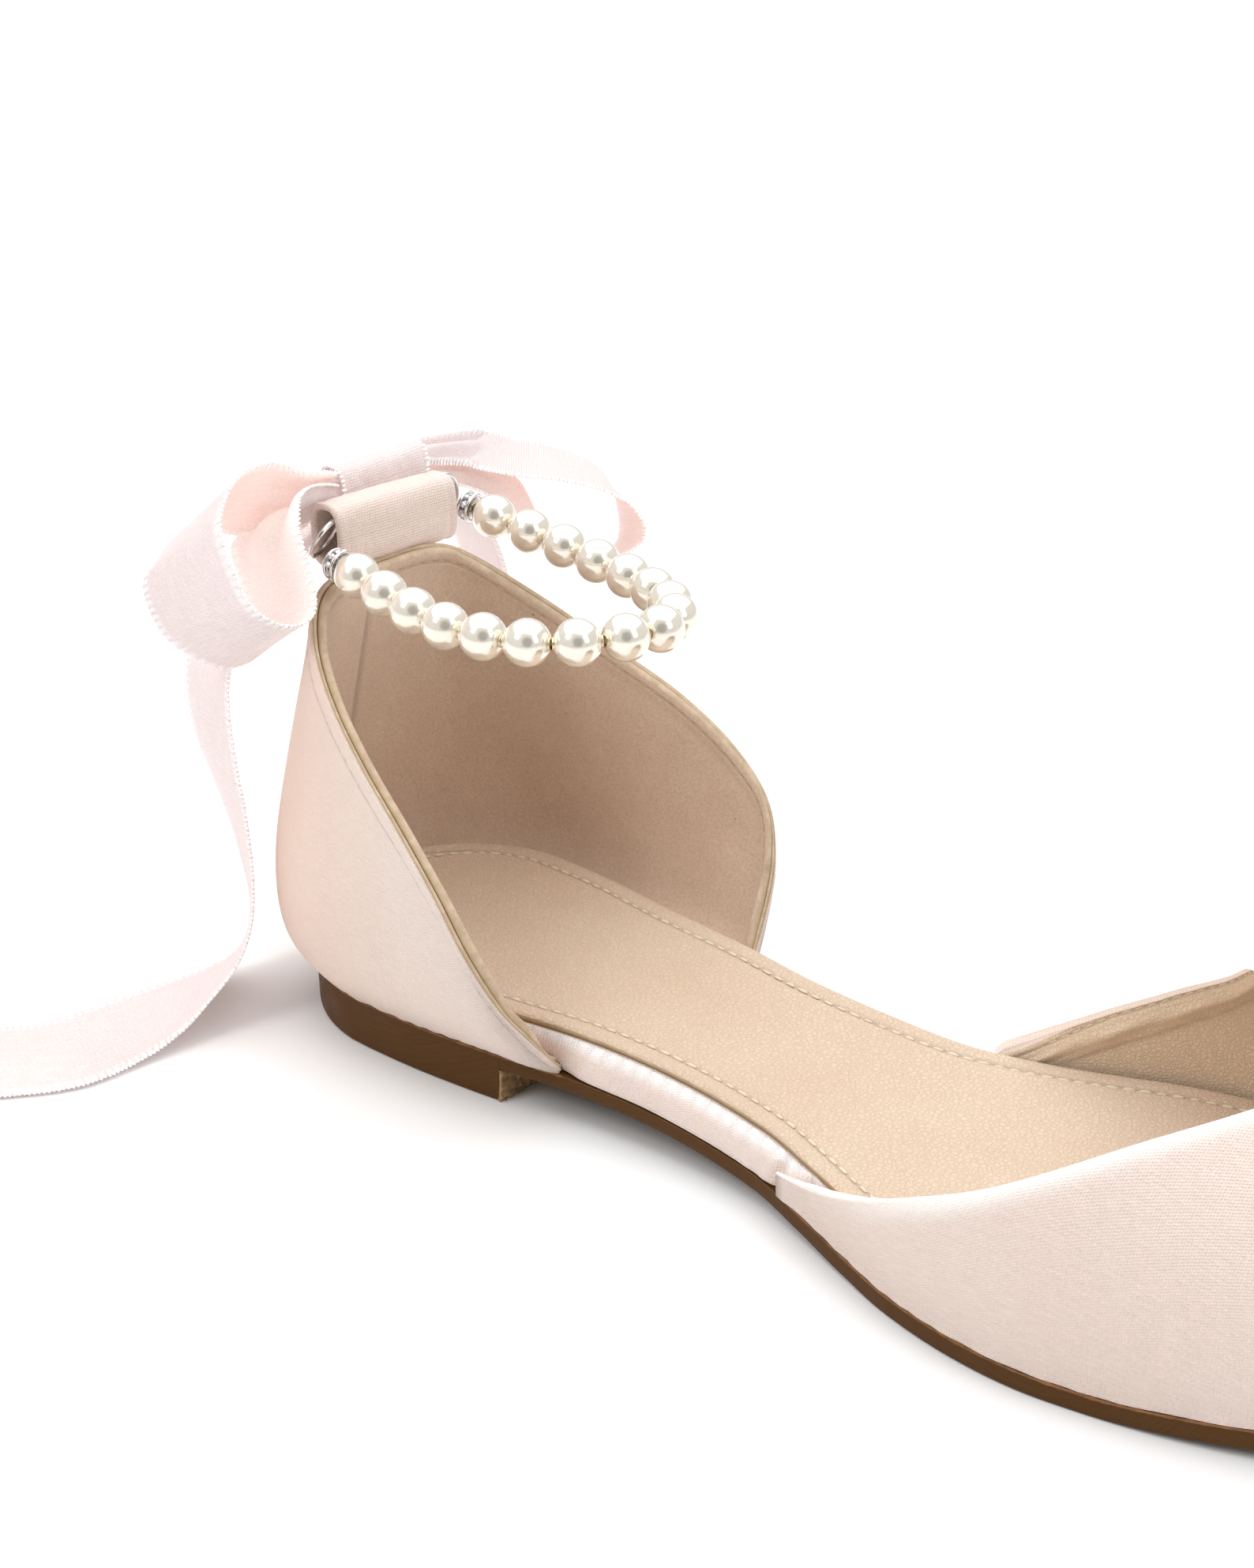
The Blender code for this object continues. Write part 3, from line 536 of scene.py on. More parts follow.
def from_top(points):
    """Distance of each grid point below the last column of its row."""
    steps = np.linalg.norm(np.diff(points, axis=1), axis=2)
    return np.pad(np.cumsum(steps[:, ::-1], axis=1)[:, ::-1], ((0, 0), (0, 1)))


def line_below(points, normals, distance):
    """The line on a grid that lies distance below its last column, with its normals."""
    depths = from_top(points)
    line, outs = (np.array([[np.interp(distance, depth[::-1], row[::-1, k]) for k in range(3)]
                            for row, depth in zip(table, depths)]) for table in (points, normals))
    return line, unit(outs)


def spaced(line, outs, pitch):
    """Places along a line at even pitch: points, directions along it, and normals."""
    travel = travel_of(line)
    wanted = np.arange(0.5 * pitch, travel[-1], pitch)
    ways = unit(np.gradient(line, axis=0))
    spots, ways, outs = (np.column_stack([np.interp(wanted, travel, table[:, k])
                                          for k in range(3)]) for table in (line, ways, outs))
    return spots, unit(ways), unit(outs)


def on_root(obj, slot, *nodes):
    """Put a finished piece on the shoe, in place of solids; slot is not used."""
    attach(obj, "root")
    if nodes:
        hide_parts(*nodes)


# ---- finishes -------------------------------------------------------------------------------
def add(tree, kind, inputs=None, **settings):
    """A node with its settings, and its inputs set or linked by name or number."""
    node = tree.nodes.new(kind)
    for key, value in settings.items():
        setattr(node, key, value)
    for key, value in (inputs or {}).items():
        if isinstance(value, bpy.types.NodeSocket):
            tree.links.new(value, node.inputs[key])
        else:
            node.inputs[key].default_value = value
    return node


def start_finish(name, colour, roughness, shader_values=None):
    """A new material: (material, its tree, its shader)."""
    material = bpy.data.materials.new(name)
    material.use_nodes = True
    tree = material.node_tree
    shader = tree.nodes["Principled BSDF"]
    shader.inputs["Base Color"].default_value = (*colour, 1.0)
    shader.inputs["Roughness"].default_value = roughness
    for key, value in (shader_values or {}).items():
        shader.inputs[key].default_value = value
    return material, tree, shader


def settle(finish, base, rough=None, normal=None):
    """The material of a started finish, with its colour, roughness and normal linked."""
    material, tree, shader = finish
    for key, value in (("Base Color", base), ("Roughness", rough), ("Normal", normal)):
        if value is not None:
            tree.links.new(value, shader.inputs[key])
    return material


def tone_of(colour, share):
    """A colour darkened, or lightened up to white, to share of itself."""
    return tuple(min(share * part, 1.0) for part in colour)


def reckon(tree, operation, first, second):
    """One sum on two values."""
    return add(tree, "ShaderNodeMath", {0: first, 1: second}, operation=operation).outputs[0]


def cloth_place(tree, along=1.0, across=1.0):
    """Cloth coordinates stretched to along and across units per millimetre."""
    place = add(tree, "ShaderNodeUVMap", uv_map="weave")
    return add(tree, "ShaderNodeMapping", {"Vector": place.outputs["UV"],
                                           "Scale": (along, across, 1.0)}).outputs["Vector"]


def body_place(tree, per_mm):
    """Object coordinates scaled to per_mm units per millimetre."""
    place = add(tree, "ShaderNodeTexCoord")
    size = per_mm / MM
    return add(tree, "ShaderNodeMapping", {"Vector": place.outputs["Object"],
                                           "Scale": (size, size, size)}).outputs["Vector"]


def grain(tree, place, detail, roughness):
    """A noise value at place."""
    return add(tree, "ShaderNodeTexNoise", {
        "Vector": place, "Scale": 1.0, "Detail": detail, "Roughness": roughness}).outputs["Fac"]


def stops(tree, value, rows):
    """A ramp through rows of (place, colour)."""
    ramp = add(tree, "ShaderNodeValToRGB", {"Fac": value})
    elements = ramp.color_ramp.elements
    while len(elements) < len(rows):
        elements.new(0.5)
    for element, (place, colour) in zip(elements, rows):
        element.position = place
        element.color = (*colour, 1.0)
    return ramp.outputs["Color"]


def spread(tree, value, low, high, new_low=0.0, new_high=1.0):
    """value moved from low..high to new_low..new_high."""
    return add(tree, "ShaderNodeMapRange", {
        "Value": value, "From Min": low, "From Max": high,
        "To Min": new_low, "To Max": new_high}).outputs["Result"]


def blend_colour(tree, share, first, second):
    """first turned into second by share."""
    node = add(tree, "ShaderNodeMix", data_type="RGBA")
    tree.links.new(share, node.inputs[0])
    for key, value in ((6, first), (7, second)):
        if isinstance(value, bpy.types.NodeSocket):
            tree.links.new(value, node.inputs[key])
        else:
            node.inputs[key].default_value = (*value, 1.0)
    return node.outputs[2]


def raise_by(tree, height, distance_mm, strength=1.0, under=None):
    """A bump normal from height over distance_mm, on top of the normal under."""
    inputs = {"Height": height, "Distance": distance_mm * MM, "Strength": strength}
    if under is not None:
        inputs["Normal"] = under
    return add(tree, "ShaderNodeBump", inputs).outputs["Normal"]


def bands(tree, place, period, distortion, detail):
    """Even bands along the first direction of place, period long."""
    return add(tree, "ShaderNodeTexWave", {
        "Vector": place, "Scale": 0.3142 / period, "Distortion": distortion,
        "Detail": detail, "Detail Scale": 1.5}, bands_direction="X").outputs["Fac"]


def seam_mark(tree):
    """The marks that build stores at every point."""
    return add(tree, "ShaderNodeAttribute", attribute_name="seam").outputs["Fac"]


def paint_light_by_marks(tree, base, colour, amount=0.7):
    """base turned to colour where the marks are: painted shade along seams and folds, and a
    painted highlight where the colour is light; amount below 0 takes the marks below 0.
    """
    share = spread(tree, seam_mark(tree), 0.0, math.copysign(1.0, amount), 0.0, abs(amount))
    return blend_colour(tree, share, base, colour)


def satin_finish(name, light, deep, weave=0.5, streak=(0.30, 3.2), rough=(0.30, 0.50),
                 relief=1.0, heel=None, glow=None, paler=None, ribs=None, gloss=0.5):
    """Woven satin: long floats, slubs with a silver sheen, and soft patches of colour.

    heel, a tone given for the heel, deepens the colour towards the back of the shoe: painted
    shade where the satin turns from the light. Past paler, a stretch of cloth in millimetres,
    the cloth is painted in that tone instead: painted light, paler, on the inside of a ribbon
    loop. glow is a painted glow, emission that stands in for the light that comes through thin
    cloth. ribs are the pitch and depth of cross ribs raised where the seam marks are, and the
    share by which the marks lighten the cloth there: a painted highlight along the board's
    rolled top, lighter selvedges on the ribbons.
    """
    # Emission paints a glow onto the cloth when glow is given: painted light for the light through
    # thin cloth.
    finish = start_finish(name, light, 0.4, {
        "Sheen Weight": 0.22, "Sheen Roughness": 0.35, "Sheen Tint": (1.0, 0.93, 0.90, 1.0),
        "Specular IOR Level": gloss, "Anisotropic": 0.45,
        "Emission Color": (*(glow or (0.0, 0.0, 0.0)), 1.0),
        "Emission Strength": 1.0 if glow else 0.0})
    tree = finish[1]
    slubs = grain(tree, cloth_place(tree, *streak), 4.0, 0.6)
    floats = bands(tree, cloth_place(tree), weave, 2.5, 2.0)
    cross = bands(tree, add(tree, "ShaderNodeMapping", {
        "Vector": cloth_place(tree), "Rotation": (0.0, 0.0, 1.15)}).outputs["Vector"],
        weave * 0.8, 1.5, 2.0)
    patches = grain(tree, body_place(tree, 0.045), 2.0, 0.5)
    mottle = grain(tree, body_place(tree, 0.35), 4.0, 0.65)
    base = blend_colour(tree, spread(tree, patches, 0.35, 0.65, 0.0, 0.5), light, deep)
    base = blend_colour(tree, spread(tree, mottle, 0.40, 0.65, 0.0, 0.45), base,
                        tone_of(light, 0.93))
    flecks = spread(tree, slubs, 0.50, 0.70, 0.0, 0.5)
    base = blend_colour(tree, flecks, base, tone_of(light, 1.12))
    dips = spread(tree, slubs, 0.50, 0.32, 0.0, 0.45)
    base = blend_colour(tree, dips, base, tone_of(light, 0.86))
    base = blend_colour(tree, spread(tree, cross, 0.2, 0.8, 0.0, 0.25), base, tone_of(deep, 0.9))
    # Painted shade: the satin deepens towards the back of the shoe, where it turns from the light;
    # with paler, the cloth past that stretch is painted paler instead, painted light.
    if heel is not None:
        spot = (cloth_place(tree) if paler
                else add(tree, "ShaderNodeTexCoord").outputs["Object"])
        along = add(tree, "ShaderNodeSeparateXYZ", {0: spot}).outputs["X"]
        low, high = paler or (0.016, -0.026)
        base = blend_colour(tree, spread(tree, along, low, high, 0.0, 0.9), base, heel)
    # The marks paint light: with ribs the cloth lightens where they are, the painted highlight on
    # the board's rolled top; otherwise painted shade along seams and folds, and a painted
    # highlight where the marks are below 0.
    if ribs:
        base = paint_light_by_marks(tree, base, (1.0, 0.97, 0.955), ribs[2])
    else:
        base = paint_light_by_marks(tree, base, tone_of(deep, 0.55), 0.9)
        base = paint_light_by_marks(tree, base, (1.0, 0.965, 0.94), -0.9)
    normal = raise_by(tree, floats, 0.08 * relief, 0.8)
    normal = raise_by(tree, cross, 0.07 * relief, 0.8, normal)
    normal = raise_by(tree, slubs, 0.14 * relief, 0.8, normal)
    normal = raise_by(tree, mottle, 0.25, 0.3, normal)
    if ribs:
        row = bands(tree, cloth_place(tree), ribs[0], 0.6, 1.0)
        row = reckon(tree, "MULTIPLY", row, seam_mark(tree))
        normal = raise_by(tree, row, ribs[1], 1.0, normal)
    return settle(finish, base, spread(tree, slubs, 0.3, 0.7, rough[1], rough[0]), normal)


def suede_finish():
    """Brushed lining with a short nap, cloudy patches, stray dark fibres, and painted shade where
    the marks are.
    """
    finish = start_finish("suede_lining", (0.66, 0.48, 0.35), 0.92, {
        "Sheen Weight": 0.35, "Sheen Roughness": 0.6, "Specular IOR Level": 0.2})
    tree = finish[1]
    clouds = grain(tree, body_place(tree, 0.09), 5.0, 0.6)
    nap = grain(tree, body_place(tree, 2.1), 6.0, 0.8)
    base = stops(tree, clouds, [(0.30, (0.71, 0.52, 0.385)), (0.55, (0.75, 0.56, 0.42)),
                                (0.75, (0.78, 0.595, 0.455))])
    base = blend_colour(tree, spread(tree, nap, 0.42, 0.62, 0.0, 0.46), base,
                        (0.42, 0.295, 0.205))
    specks = add(tree, "ShaderNodeTexVoronoi", {
        "Vector": body_place(tree, 0.16), "Scale": 1.0, "Randomness": 1.0}).outputs["Distance"]
    chosen = grain(tree, body_place(tree, 0.25), 1.0, 0.5)
    near = spread(tree, specks, 0.02, 0.05, 1.0, 0.0)
    share = reckon(tree, "MULTIPLY", near, spread(tree, chosen, 0.50, 0.56))
    share = add(tree, "ShaderNodeClamp", {"Value": share}).outputs[0]
    base = blend_colour(tree, share, base, (0.16, 0.10, 0.06))
    # Painted shade in the lining's stitch groove and along its back seam, where the marks are.
    base = paint_light_by_marks(tree, base, (0.30, 0.20, 0.13))
    return settle(finish, base,
                  normal=raise_by(tree, nap, 0.22, 0.7, raise_by(tree, clouds, 0.5, 0.3)))


def leather_finish(name, colour, worn, pebble=1.1):
    """Fine grained leather: pebbles, creases, pores, soft changes of tone, and painted shade where
    the marks are.
    """
    finish = start_finish(name, colour, 0.5, {"Specular IOR Level": 0.45, "Sheen Weight": 0.05})
    tree = finish[1]
    place = body_place(tree, pebble)
    warp = add(tree, "ShaderNodeTexNoise", {"Vector": place, "Scale": 0.6, "Detail": 3.0})
    moved = add(tree, "ShaderNodeVectorMath", {0: place, 1: warp.outputs["Color"]},
                operation="ADD").outputs[0]
    cells = add(tree, "ShaderNodeTexVoronoi", {"Vector": moved, "Scale": 1.0},
                feature="DISTANCE_TO_EDGE").outputs["Distance"]
    creases = spread(tree, cells, 0.0, 0.18)
    fine = grain(tree, body_place(tree, pebble * 3.5), 5.0, 0.7)
    tone = grain(tree, body_place(tree, 0.04), 4.0, 0.55)
    base = blend_colour(tree, spread(tree, tone, 0.3, 0.7), colour, worn)
    base = blend_colour(tree, spread(tree, creases, 0.0, 1.0, 0.24, 0.0), base,
                        tone_of(colour, 0.55))
    # Painted shade where the marks are: in stitch grooves, along the edge of the vamp's facing,
    # and on the face that lies against the satin.
    base = paint_light_by_marks(tree, base, tone_of(worn, 0.55))
    return settle(finish, base, spread(tree, fine, 0.3, 0.7, 0.42, 0.58),
                  raise_by(tree, fine, 0.14, 0.9, raise_by(tree, creases, 0.10, 0.8)))


def sole_finish(name, colour, worn):
    """Dyed sole leather with fine streaks along it and rubbed spots."""
    finish = start_finish(name, colour, 0.55, {"Specular IOR Level": 0.09})
    tree = finish[1]
    streaks = grain(tree, cloth_place(tree, 0.10, 1.6), 4.0, 0.6)
    spots = grain(tree, body_place(tree, 0.3), 5.0, 0.65)
    base = blend_colour(tree, spread(tree, streaks, 0.35, 0.7, 0.0, 0.5), colour, worn)
    base = blend_colour(tree, spread(tree, spots, 0.55, 0.8, 0.0, 0.5), base, worn)
    return settle(finish, base, spread(tree, spots, 0.3, 0.7, 0.36, 0.55),
                  raise_by(tree, spots, 0.12, 0.4, raise_by(tree, streaks, 0.05, 0.4)))


def raw_finish(name, colour, deep, depth=0.35):
    """Cut leather edge: open fibres, uneven tone, and painted shade where the marks are."""
    finish = start_finish(name, colour, 0.85, {"Specular IOR Level": 0.2})
    tree = finish[1]
    fibres = grain(tree, body_place(tree, 1.3), 6.0, 0.7)
    tone = grain(tree, body_place(tree, 0.35), 3.0, 0.6)
    base = blend_colour(tree, spread(tree, tone, 0.35, 0.65), colour, deep)
    base = blend_colour(tree, spread(tree, fibres, 0.45, 0.7, 0.0, 0.6), base, deep)
    # Painted shade with an olive cast where the marks are: at the foot of the sock's cut edge
    # above the rand, along the lining's cut top next to the satin, and in a line over the
    # quarter's top edge.
    base = paint_light_by_marks(tree, base, (0.36, 0.24, 0.08), 1.0)
    return settle(finish, base, normal=raise_by(tree, fibres, depth, 0.7))


def thread_finish(name, colour, glow=0.0):
    """Twisted sewing thread; glow is a painted glow, emission that stands in for the light that
    comes through it.
    """
    # Emission paints a glow onto the thread when glow is given: painted light.
    finish = start_finish(name, colour, 0.6, {
        "Sheen Weight": 0.3, "Emission Color": (*colour, 1.0), "Emission Strength": glow})
    tree = finish[1]
    twist = grain(tree, body_place(tree, 3.0), 3.0, 0.6)
    base = blend_colour(tree, spread(tree, twist, 0.3, 0.7, 0.0, 0.5), colour,
                        tone_of(colour, 0.65))
    return settle(finish, base, normal=raise_by(tree, twist, 0.1, 0.6))


def pearl_finish():
    """Ivory pearl: cloudy depth under a clear glossy coat."""
    finish = start_finish("ivory_pearl", (0.90, 0.87, 0.80), 0.2, {
        "Coat Weight": 1.0, "Coat Roughness": 0.03, "Coat IOR": 1.7,
        "Specular IOR Level": 0.8, "Metallic": 0.52})
    tree = finish[1]
    clouds = grain(tree, body_place(tree, 0.35), 3.0, 0.5)
    base = stops(tree, clouds, [(0.35, (0.90, 0.84, 0.735)), (0.55, (0.88, 0.81, 0.685)),
                                (0.70, (0.91, 0.84, 0.755))])
    fine = grain(tree, body_place(tree, 2.5), 3.0, 0.5)
    return settle(finish, base, spread(tree, fine, 0.3, 0.7, 0.13, 0.18))


def metal_finish(name, colour, roughness):
    """Plated metal with hairline scratches."""
    finish = start_finish(name, colour, roughness, {"Metallic": 1.0})
    tree = finish[1]
    hair = grain(tree, body_place(tree, 2.0), 5.0, 0.7)
    base = blend_colour(tree, spread(tree, hair, 0.5, 0.8, 0.0, 0.4), colour,
                        tone_of(colour, 0.6))
    return settle(finish, base,
                  spread(tree, hair, 0.3, 0.7, roughness * 0.7, roughness * 1.6),
                  raise_by(tree, hair, 0.02, 0.5))


def crystal_finish():
    """Cut glass crystal over foil."""
    finish = start_finish("cut_crystal", (0.95, 0.96, 0.98), 0.03, {
        "IOR": 1.9, "Metallic": 0.35, "Coat Weight": 1.0, "Coat Roughness": 0.02})
    tree = finish[1]
    cloud = grain(tree, body_place(tree, 1.2), 2.0, 0.5)
    base = stops(tree, cloud, [(0.35, (0.75, 0.78, 0.84)), (0.5, (0.98, 0.98, 1.0)),
                               (0.65, (0.45, 0.47, 0.52))])
    return settle(finish, base)


# ---- trimming by rule -----------------------------------------------------------------------
def open_tree(name, sockets):
    """A geometry tree with named inputs: (tree, its input node, its output node)."""
    tree = bpy.data.node_groups.new(name, "GeometryNodeTree")
    tree.interface.new_socket(name="Geometry", in_out="OUTPUT", socket_type="NodeSocketGeometry")
    tree.interface.new_socket(name="Geometry", in_out="INPUT", socket_type="NodeSocketGeometry")
    for label, kind, value in sockets:
        socket = tree.interface.new_socket(name=label, in_out="INPUT", socket_type=kind)
        if value is not None:
            socket.default_value = value
    return tree, add(tree, "NodeGroupInput"), add(tree, "NodeGroupOutput")


def apply_tree(obj, tree, values):
    """Run a geometry tree on an object with its inputs set, and keep the plain mesh."""
    modifier = obj.modifiers.new(tree.name, "NODES")
    modifier.node_group = tree
    for socket in tree.interface.items_tree:
        if socket.in_out == "INPUT" and socket.name in values:
            modifier[socket.identifier] = values[socket.name]
    graph = bpy.context.evaluated_depsgraph_get()
    mesh = bpy.data.meshes.new_from_object(obj.evaluated_get(graph), depsgraph=graph)
    obj.modifiers.clear()
    obj.data = mesh


def direction(tree, name):
    """A direction that every place carries."""
    return add(tree, "GeometryNodeInputNamedAttribute", {"Name": name},
               data_type="FLOAT_VECTOR").outputs[0]


def turned_to(tree, way, axis="Z"):
    """Rotation that lays an axis along a direction."""
    return add(tree, "FunctionNodeAlignRotationToVector", {"Vector": way}, axis=axis).outputs[0]


def facing(tree):
    """Rotation that lays X along a place's line and Z out of its surface."""
    return add(tree, "FunctionNodeAlignRotationToVector", {
        "Rotation": turned_to(tree, direction(tree, "along"), "X"),
        "Vector": direction(tree, "out")}, axis="Z", pivot_axis="X").outputs[0]


def in_finish(tree, piece, finish):
    """A piece of geometry in a finish."""
    return add(tree, "GeometryNodeSetMaterial", {"Geometry": piece, "Material": finish}).outputs[0]


def at_places(tree, given, piece, rotation, **more):
    """The piece at every place, as real mesh."""
    placed = add(tree, "GeometryNodeInstanceOnPoints", {
        "Points": given.outputs["Geometry"], "Instance": piece, "Rotation": rotation, **more})
    return add(tree, "GeometryNodeRealizeInstances", {"Geometry": placed.outputs[0]}).outputs[0]


def hoop(tree, radius, wire, count, finish):
    """A round hoop of wire with count corners."""
    line, profile = (add(tree, "GeometryNodeCurvePrimitiveCircle", {
        "Resolution": corners, "Radius": size}, mode="RADIUS").outputs["Curve"]
        for corners, size in ((count, radius), (8, wire)))
    ring = add(tree, "GeometryNodeCurveToMesh", {"Curve": line, "Profile Curve": profile})
    return in_finish(tree, ring.outputs[0], finish)


def join_pair(tree, whole, piece, length, share):
    """Two of a piece joined to the whole, share of length below and above the middle."""
    for side in (-share, share):
        place = add(tree, "ShaderNodeCombineXYZ", {"Z": reckon(tree, "MULTIPLY", length, side)})
        moved = add(tree, "GeometryNodeTransform", {
            "Geometry": piece, "Translation": place.outputs[0]})
        tree.links.new(moved.outputs[0], whole.inputs[0])


def stitch_tree():
    """Stitches, or any small oval bars, one at each place."""
    tree, given, result = open_tree("stitch_row", [
        ("Length", "NodeSocketFloat", 0.002), ("Width", "NodeSocketFloat", 0.0004),
        ("Height", "NodeSocketFloat", 0.0003), ("Unevenness", "NodeSocketFloat", 0.15),
        ("Seed", "NodeSocketInt", 3), ("Thread", "NodeSocketMaterial", None)])
    bar = add(tree, "GeometryNodeMeshUVSphere", {"Segments": 8, "Rings": 5, "Radius": 0.5})
    turned = add(tree, "GeometryNodeTransform", {
        "Geometry": bar.outputs["Mesh"], "Rotation": (0.0, math.pi / 2.0, 0.0)})
    size = add(tree, "ShaderNodeCombineXYZ", {
        "X": given.outputs["Length"], "Y": given.outputs["Width"], "Z": given.outputs["Height"]})
    chance = add(tree, "FunctionNodeRandomValue", {"Seed": given.outputs["Seed"]},
                 data_type="FLOAT")
    for label, operation in (("Min", "SUBTRACT"), ("Max", "ADD")):
        socket = [s for s in chance.inputs if s.name == label and s.type == "VALUE"][0]
        tree.links.new(reckon(tree, operation, 1.0, given.outputs["Unevenness"]), socket)
    chance_value = [s for s in chance.outputs if s.type == "VALUE"][0]
    scaled = add(tree, "ShaderNodeVectorMath", {0: size.outputs[0], 1: chance_value},
                 operation="MULTIPLY").outputs[0]
    real = at_places(tree, given, turned.outputs[0], facing(tree), Scale=scaled)
    smooth = add(tree, "GeometryNodeSetShadeSmooth", {0: real})
    tree.links.new(in_finish(tree, smooth.outputs[0], given.outputs["Thread"]), result.inputs[0])
    return tree


def bead_tree():
    """Bored pearls with a metal lip at each end of the bore, one at each place."""
    tree, given, result = open_tree("bead_strand", [
        ("Diameter", "NodeSocketFloat", 0.008), ("Bore", "NodeSocketFloat", 0.0011),
        ("Pearl", "NodeSocketMaterial", None), ("Lip", "NodeSocketMaterial", None)])
    radius = reckon(tree, "MULTIPLY", given.outputs["Diameter"], 0.5)
    ball = add(tree, "GeometryNodeMeshUVSphere", {
        "Segments": 48, "Rings": 32, "Radius": radius})
    ball = in_finish(tree, ball.outputs["Mesh"], given.outputs["Pearl"])
    whole = add(tree, "GeometryNodeJoinGeometry")
    tree.links.new(ball, whole.inputs[0])
    lip = hoop(tree, given.outputs["Bore"], 0.00024, 20, given.outputs["Lip"])
    join_pair(tree, whole, lip, radius, 0.985)
    real = at_places(tree, given, whole.outputs[0], turned_to(tree, direction(tree, "along")))
    smooth = add(tree, "GeometryNodeSetShadeSmooth", {0: real})
    tree.links.new(smooth.outputs[0], result.inputs[0])
    return tree


def crystal_tree():
    """Spacer discs: two silver rims with a ring of cut crystals between them."""
    tree, given, result = open_tree("crystal_spacer", [
        ("Radius", "NodeSocketFloat", 0.0026), ("Thickness", "NodeSocketFloat", 0.0024),
        ("Crystals", "NodeSocketInt", 9), ("Crystal Size", "NodeSocketFloat", 0.0008),
        ("Metal", "NodeSocketMaterial", None), ("Stone", "NodeSocketMaterial", None)])
    whole = add(tree, "GeometryNodeJoinGeometry")
    core = add(tree, "GeometryNodeMeshCylinder", {
        "Vertices": 32, "Radius": 0.0021, "Depth": given.outputs["Thickness"]})
    metal = given.outputs["Metal"]
    tree.links.new(in_finish(tree, core.outputs["Mesh"], metal), whole.inputs[0])
    rim = hoop(tree, given.outputs["Radius"], 0.00034, 36, metal)
    join_pair(tree, whole, rim, given.outputs["Thickness"], 0.36)
    seats = add(tree, "GeometryNodeMeshCircle", {
        "Vertices": given.outputs["Crystals"], "Radius": given.outputs["Radius"]})
    out = add(tree, "GeometryNodeInputPosition").outputs[0]
    stone = add(tree, "GeometryNodeMeshCone", {
        "Vertices": 8, "Side Segments": 1, "Radius Top": 0.55, "Radius Bottom": 1.0,
        "Depth": 0.6})
    set_in = add(tree, "GeometryNodeInstanceOnPoints", {
        "Points": seats.outputs["Mesh"], "Instance": stone.outputs["Mesh"],
        "Rotation": turned_to(tree, out), "Scale": given.outputs["Crystal Size"]})
    tree.links.new(in_finish(tree, set_in.outputs[0], given.outputs["Stone"]), whole.inputs[0])
    real = at_places(tree, given, whole.outputs[0], turned_to(tree, direction(tree, "along")))
    tree.links.new(real, result.inputs[0])
    return tree


def places(name, points, along, out=None):
    """An object of loose points in millimetres that carry directions for a tree."""
    mesh = bpy.data.meshes.new(name)
    mesh.from_pydata((np.asarray(points) * MM).tolist(), [], [])
    for label, vectors in (("along", along), ("out", out)):
        if vectors is not None:
            layer = mesh.attributes.new(label, "FLOAT_VECTOR", "POINT")
            layer.data.foreach_set("vector", np.asarray(vectors, float).ravel())
    return put_in_scene(name, mesh)


def sew(name, tree, lines, pitch, length, width, height, thread, slot, uneven=0.15):
    """Rows of stitches along lines of (points, normals)."""
    parts = [spaced(line, outs, pitch) for line, outs in lines]
    points, along, out = (np.concatenate([part[k] for part in parts]) for k in range(3))
    obj = places(name, points, along, out)
    apply_tree(obj, tree, {
        "Length": length * MM, "Width": width * MM, "Height": height * MM,
        "Unevenness": uneven, "Seed": 11, "Thread": thread})
    on_root(obj, slot)


# ---- stage ----------------------------------------------------------------------------------
CAMERA_PLACE = (0.2763, -0.2809, 0.2310)
CAMERA_TURN = (1.1257, 0.0, 0.7051)
CAMERA_LENS = 54.4
WORLD_STRENGTH = 0.66
FLOOR_REACH = 7.0


def set_camera():
    """Camera beside the toe, looking back and down at the heel."""
    data = bpy.data.cameras.new("camera")
    data.sensor_fit = "VERTICAL"
    data.sensor_height = 36.0
    data.lens = CAMERA_LENS
    data.clip_start = 0.01
    camera = put_in_scene("camera", data)
    camera.location = CAMERA_PLACE
    camera.rotation_euler = CAMERA_TURN
    bpy.context.scene.camera = camera


def add_softbox(name, spot, aim, size, energy):
    """A rectangular soft light at spot, turned to aim."""
    data = bpy.data.lights.new(name, "AREA")
    data.shape = "RECTANGLE"
    data.size, data.size_y = size
    data.energy = energy
    light = put_in_scene(name, data)
    light.location = spot
    light.rotation_euler = (Vector(aim) - Vector(spot)).to_track_quat("-Z", "Y").to_euler()


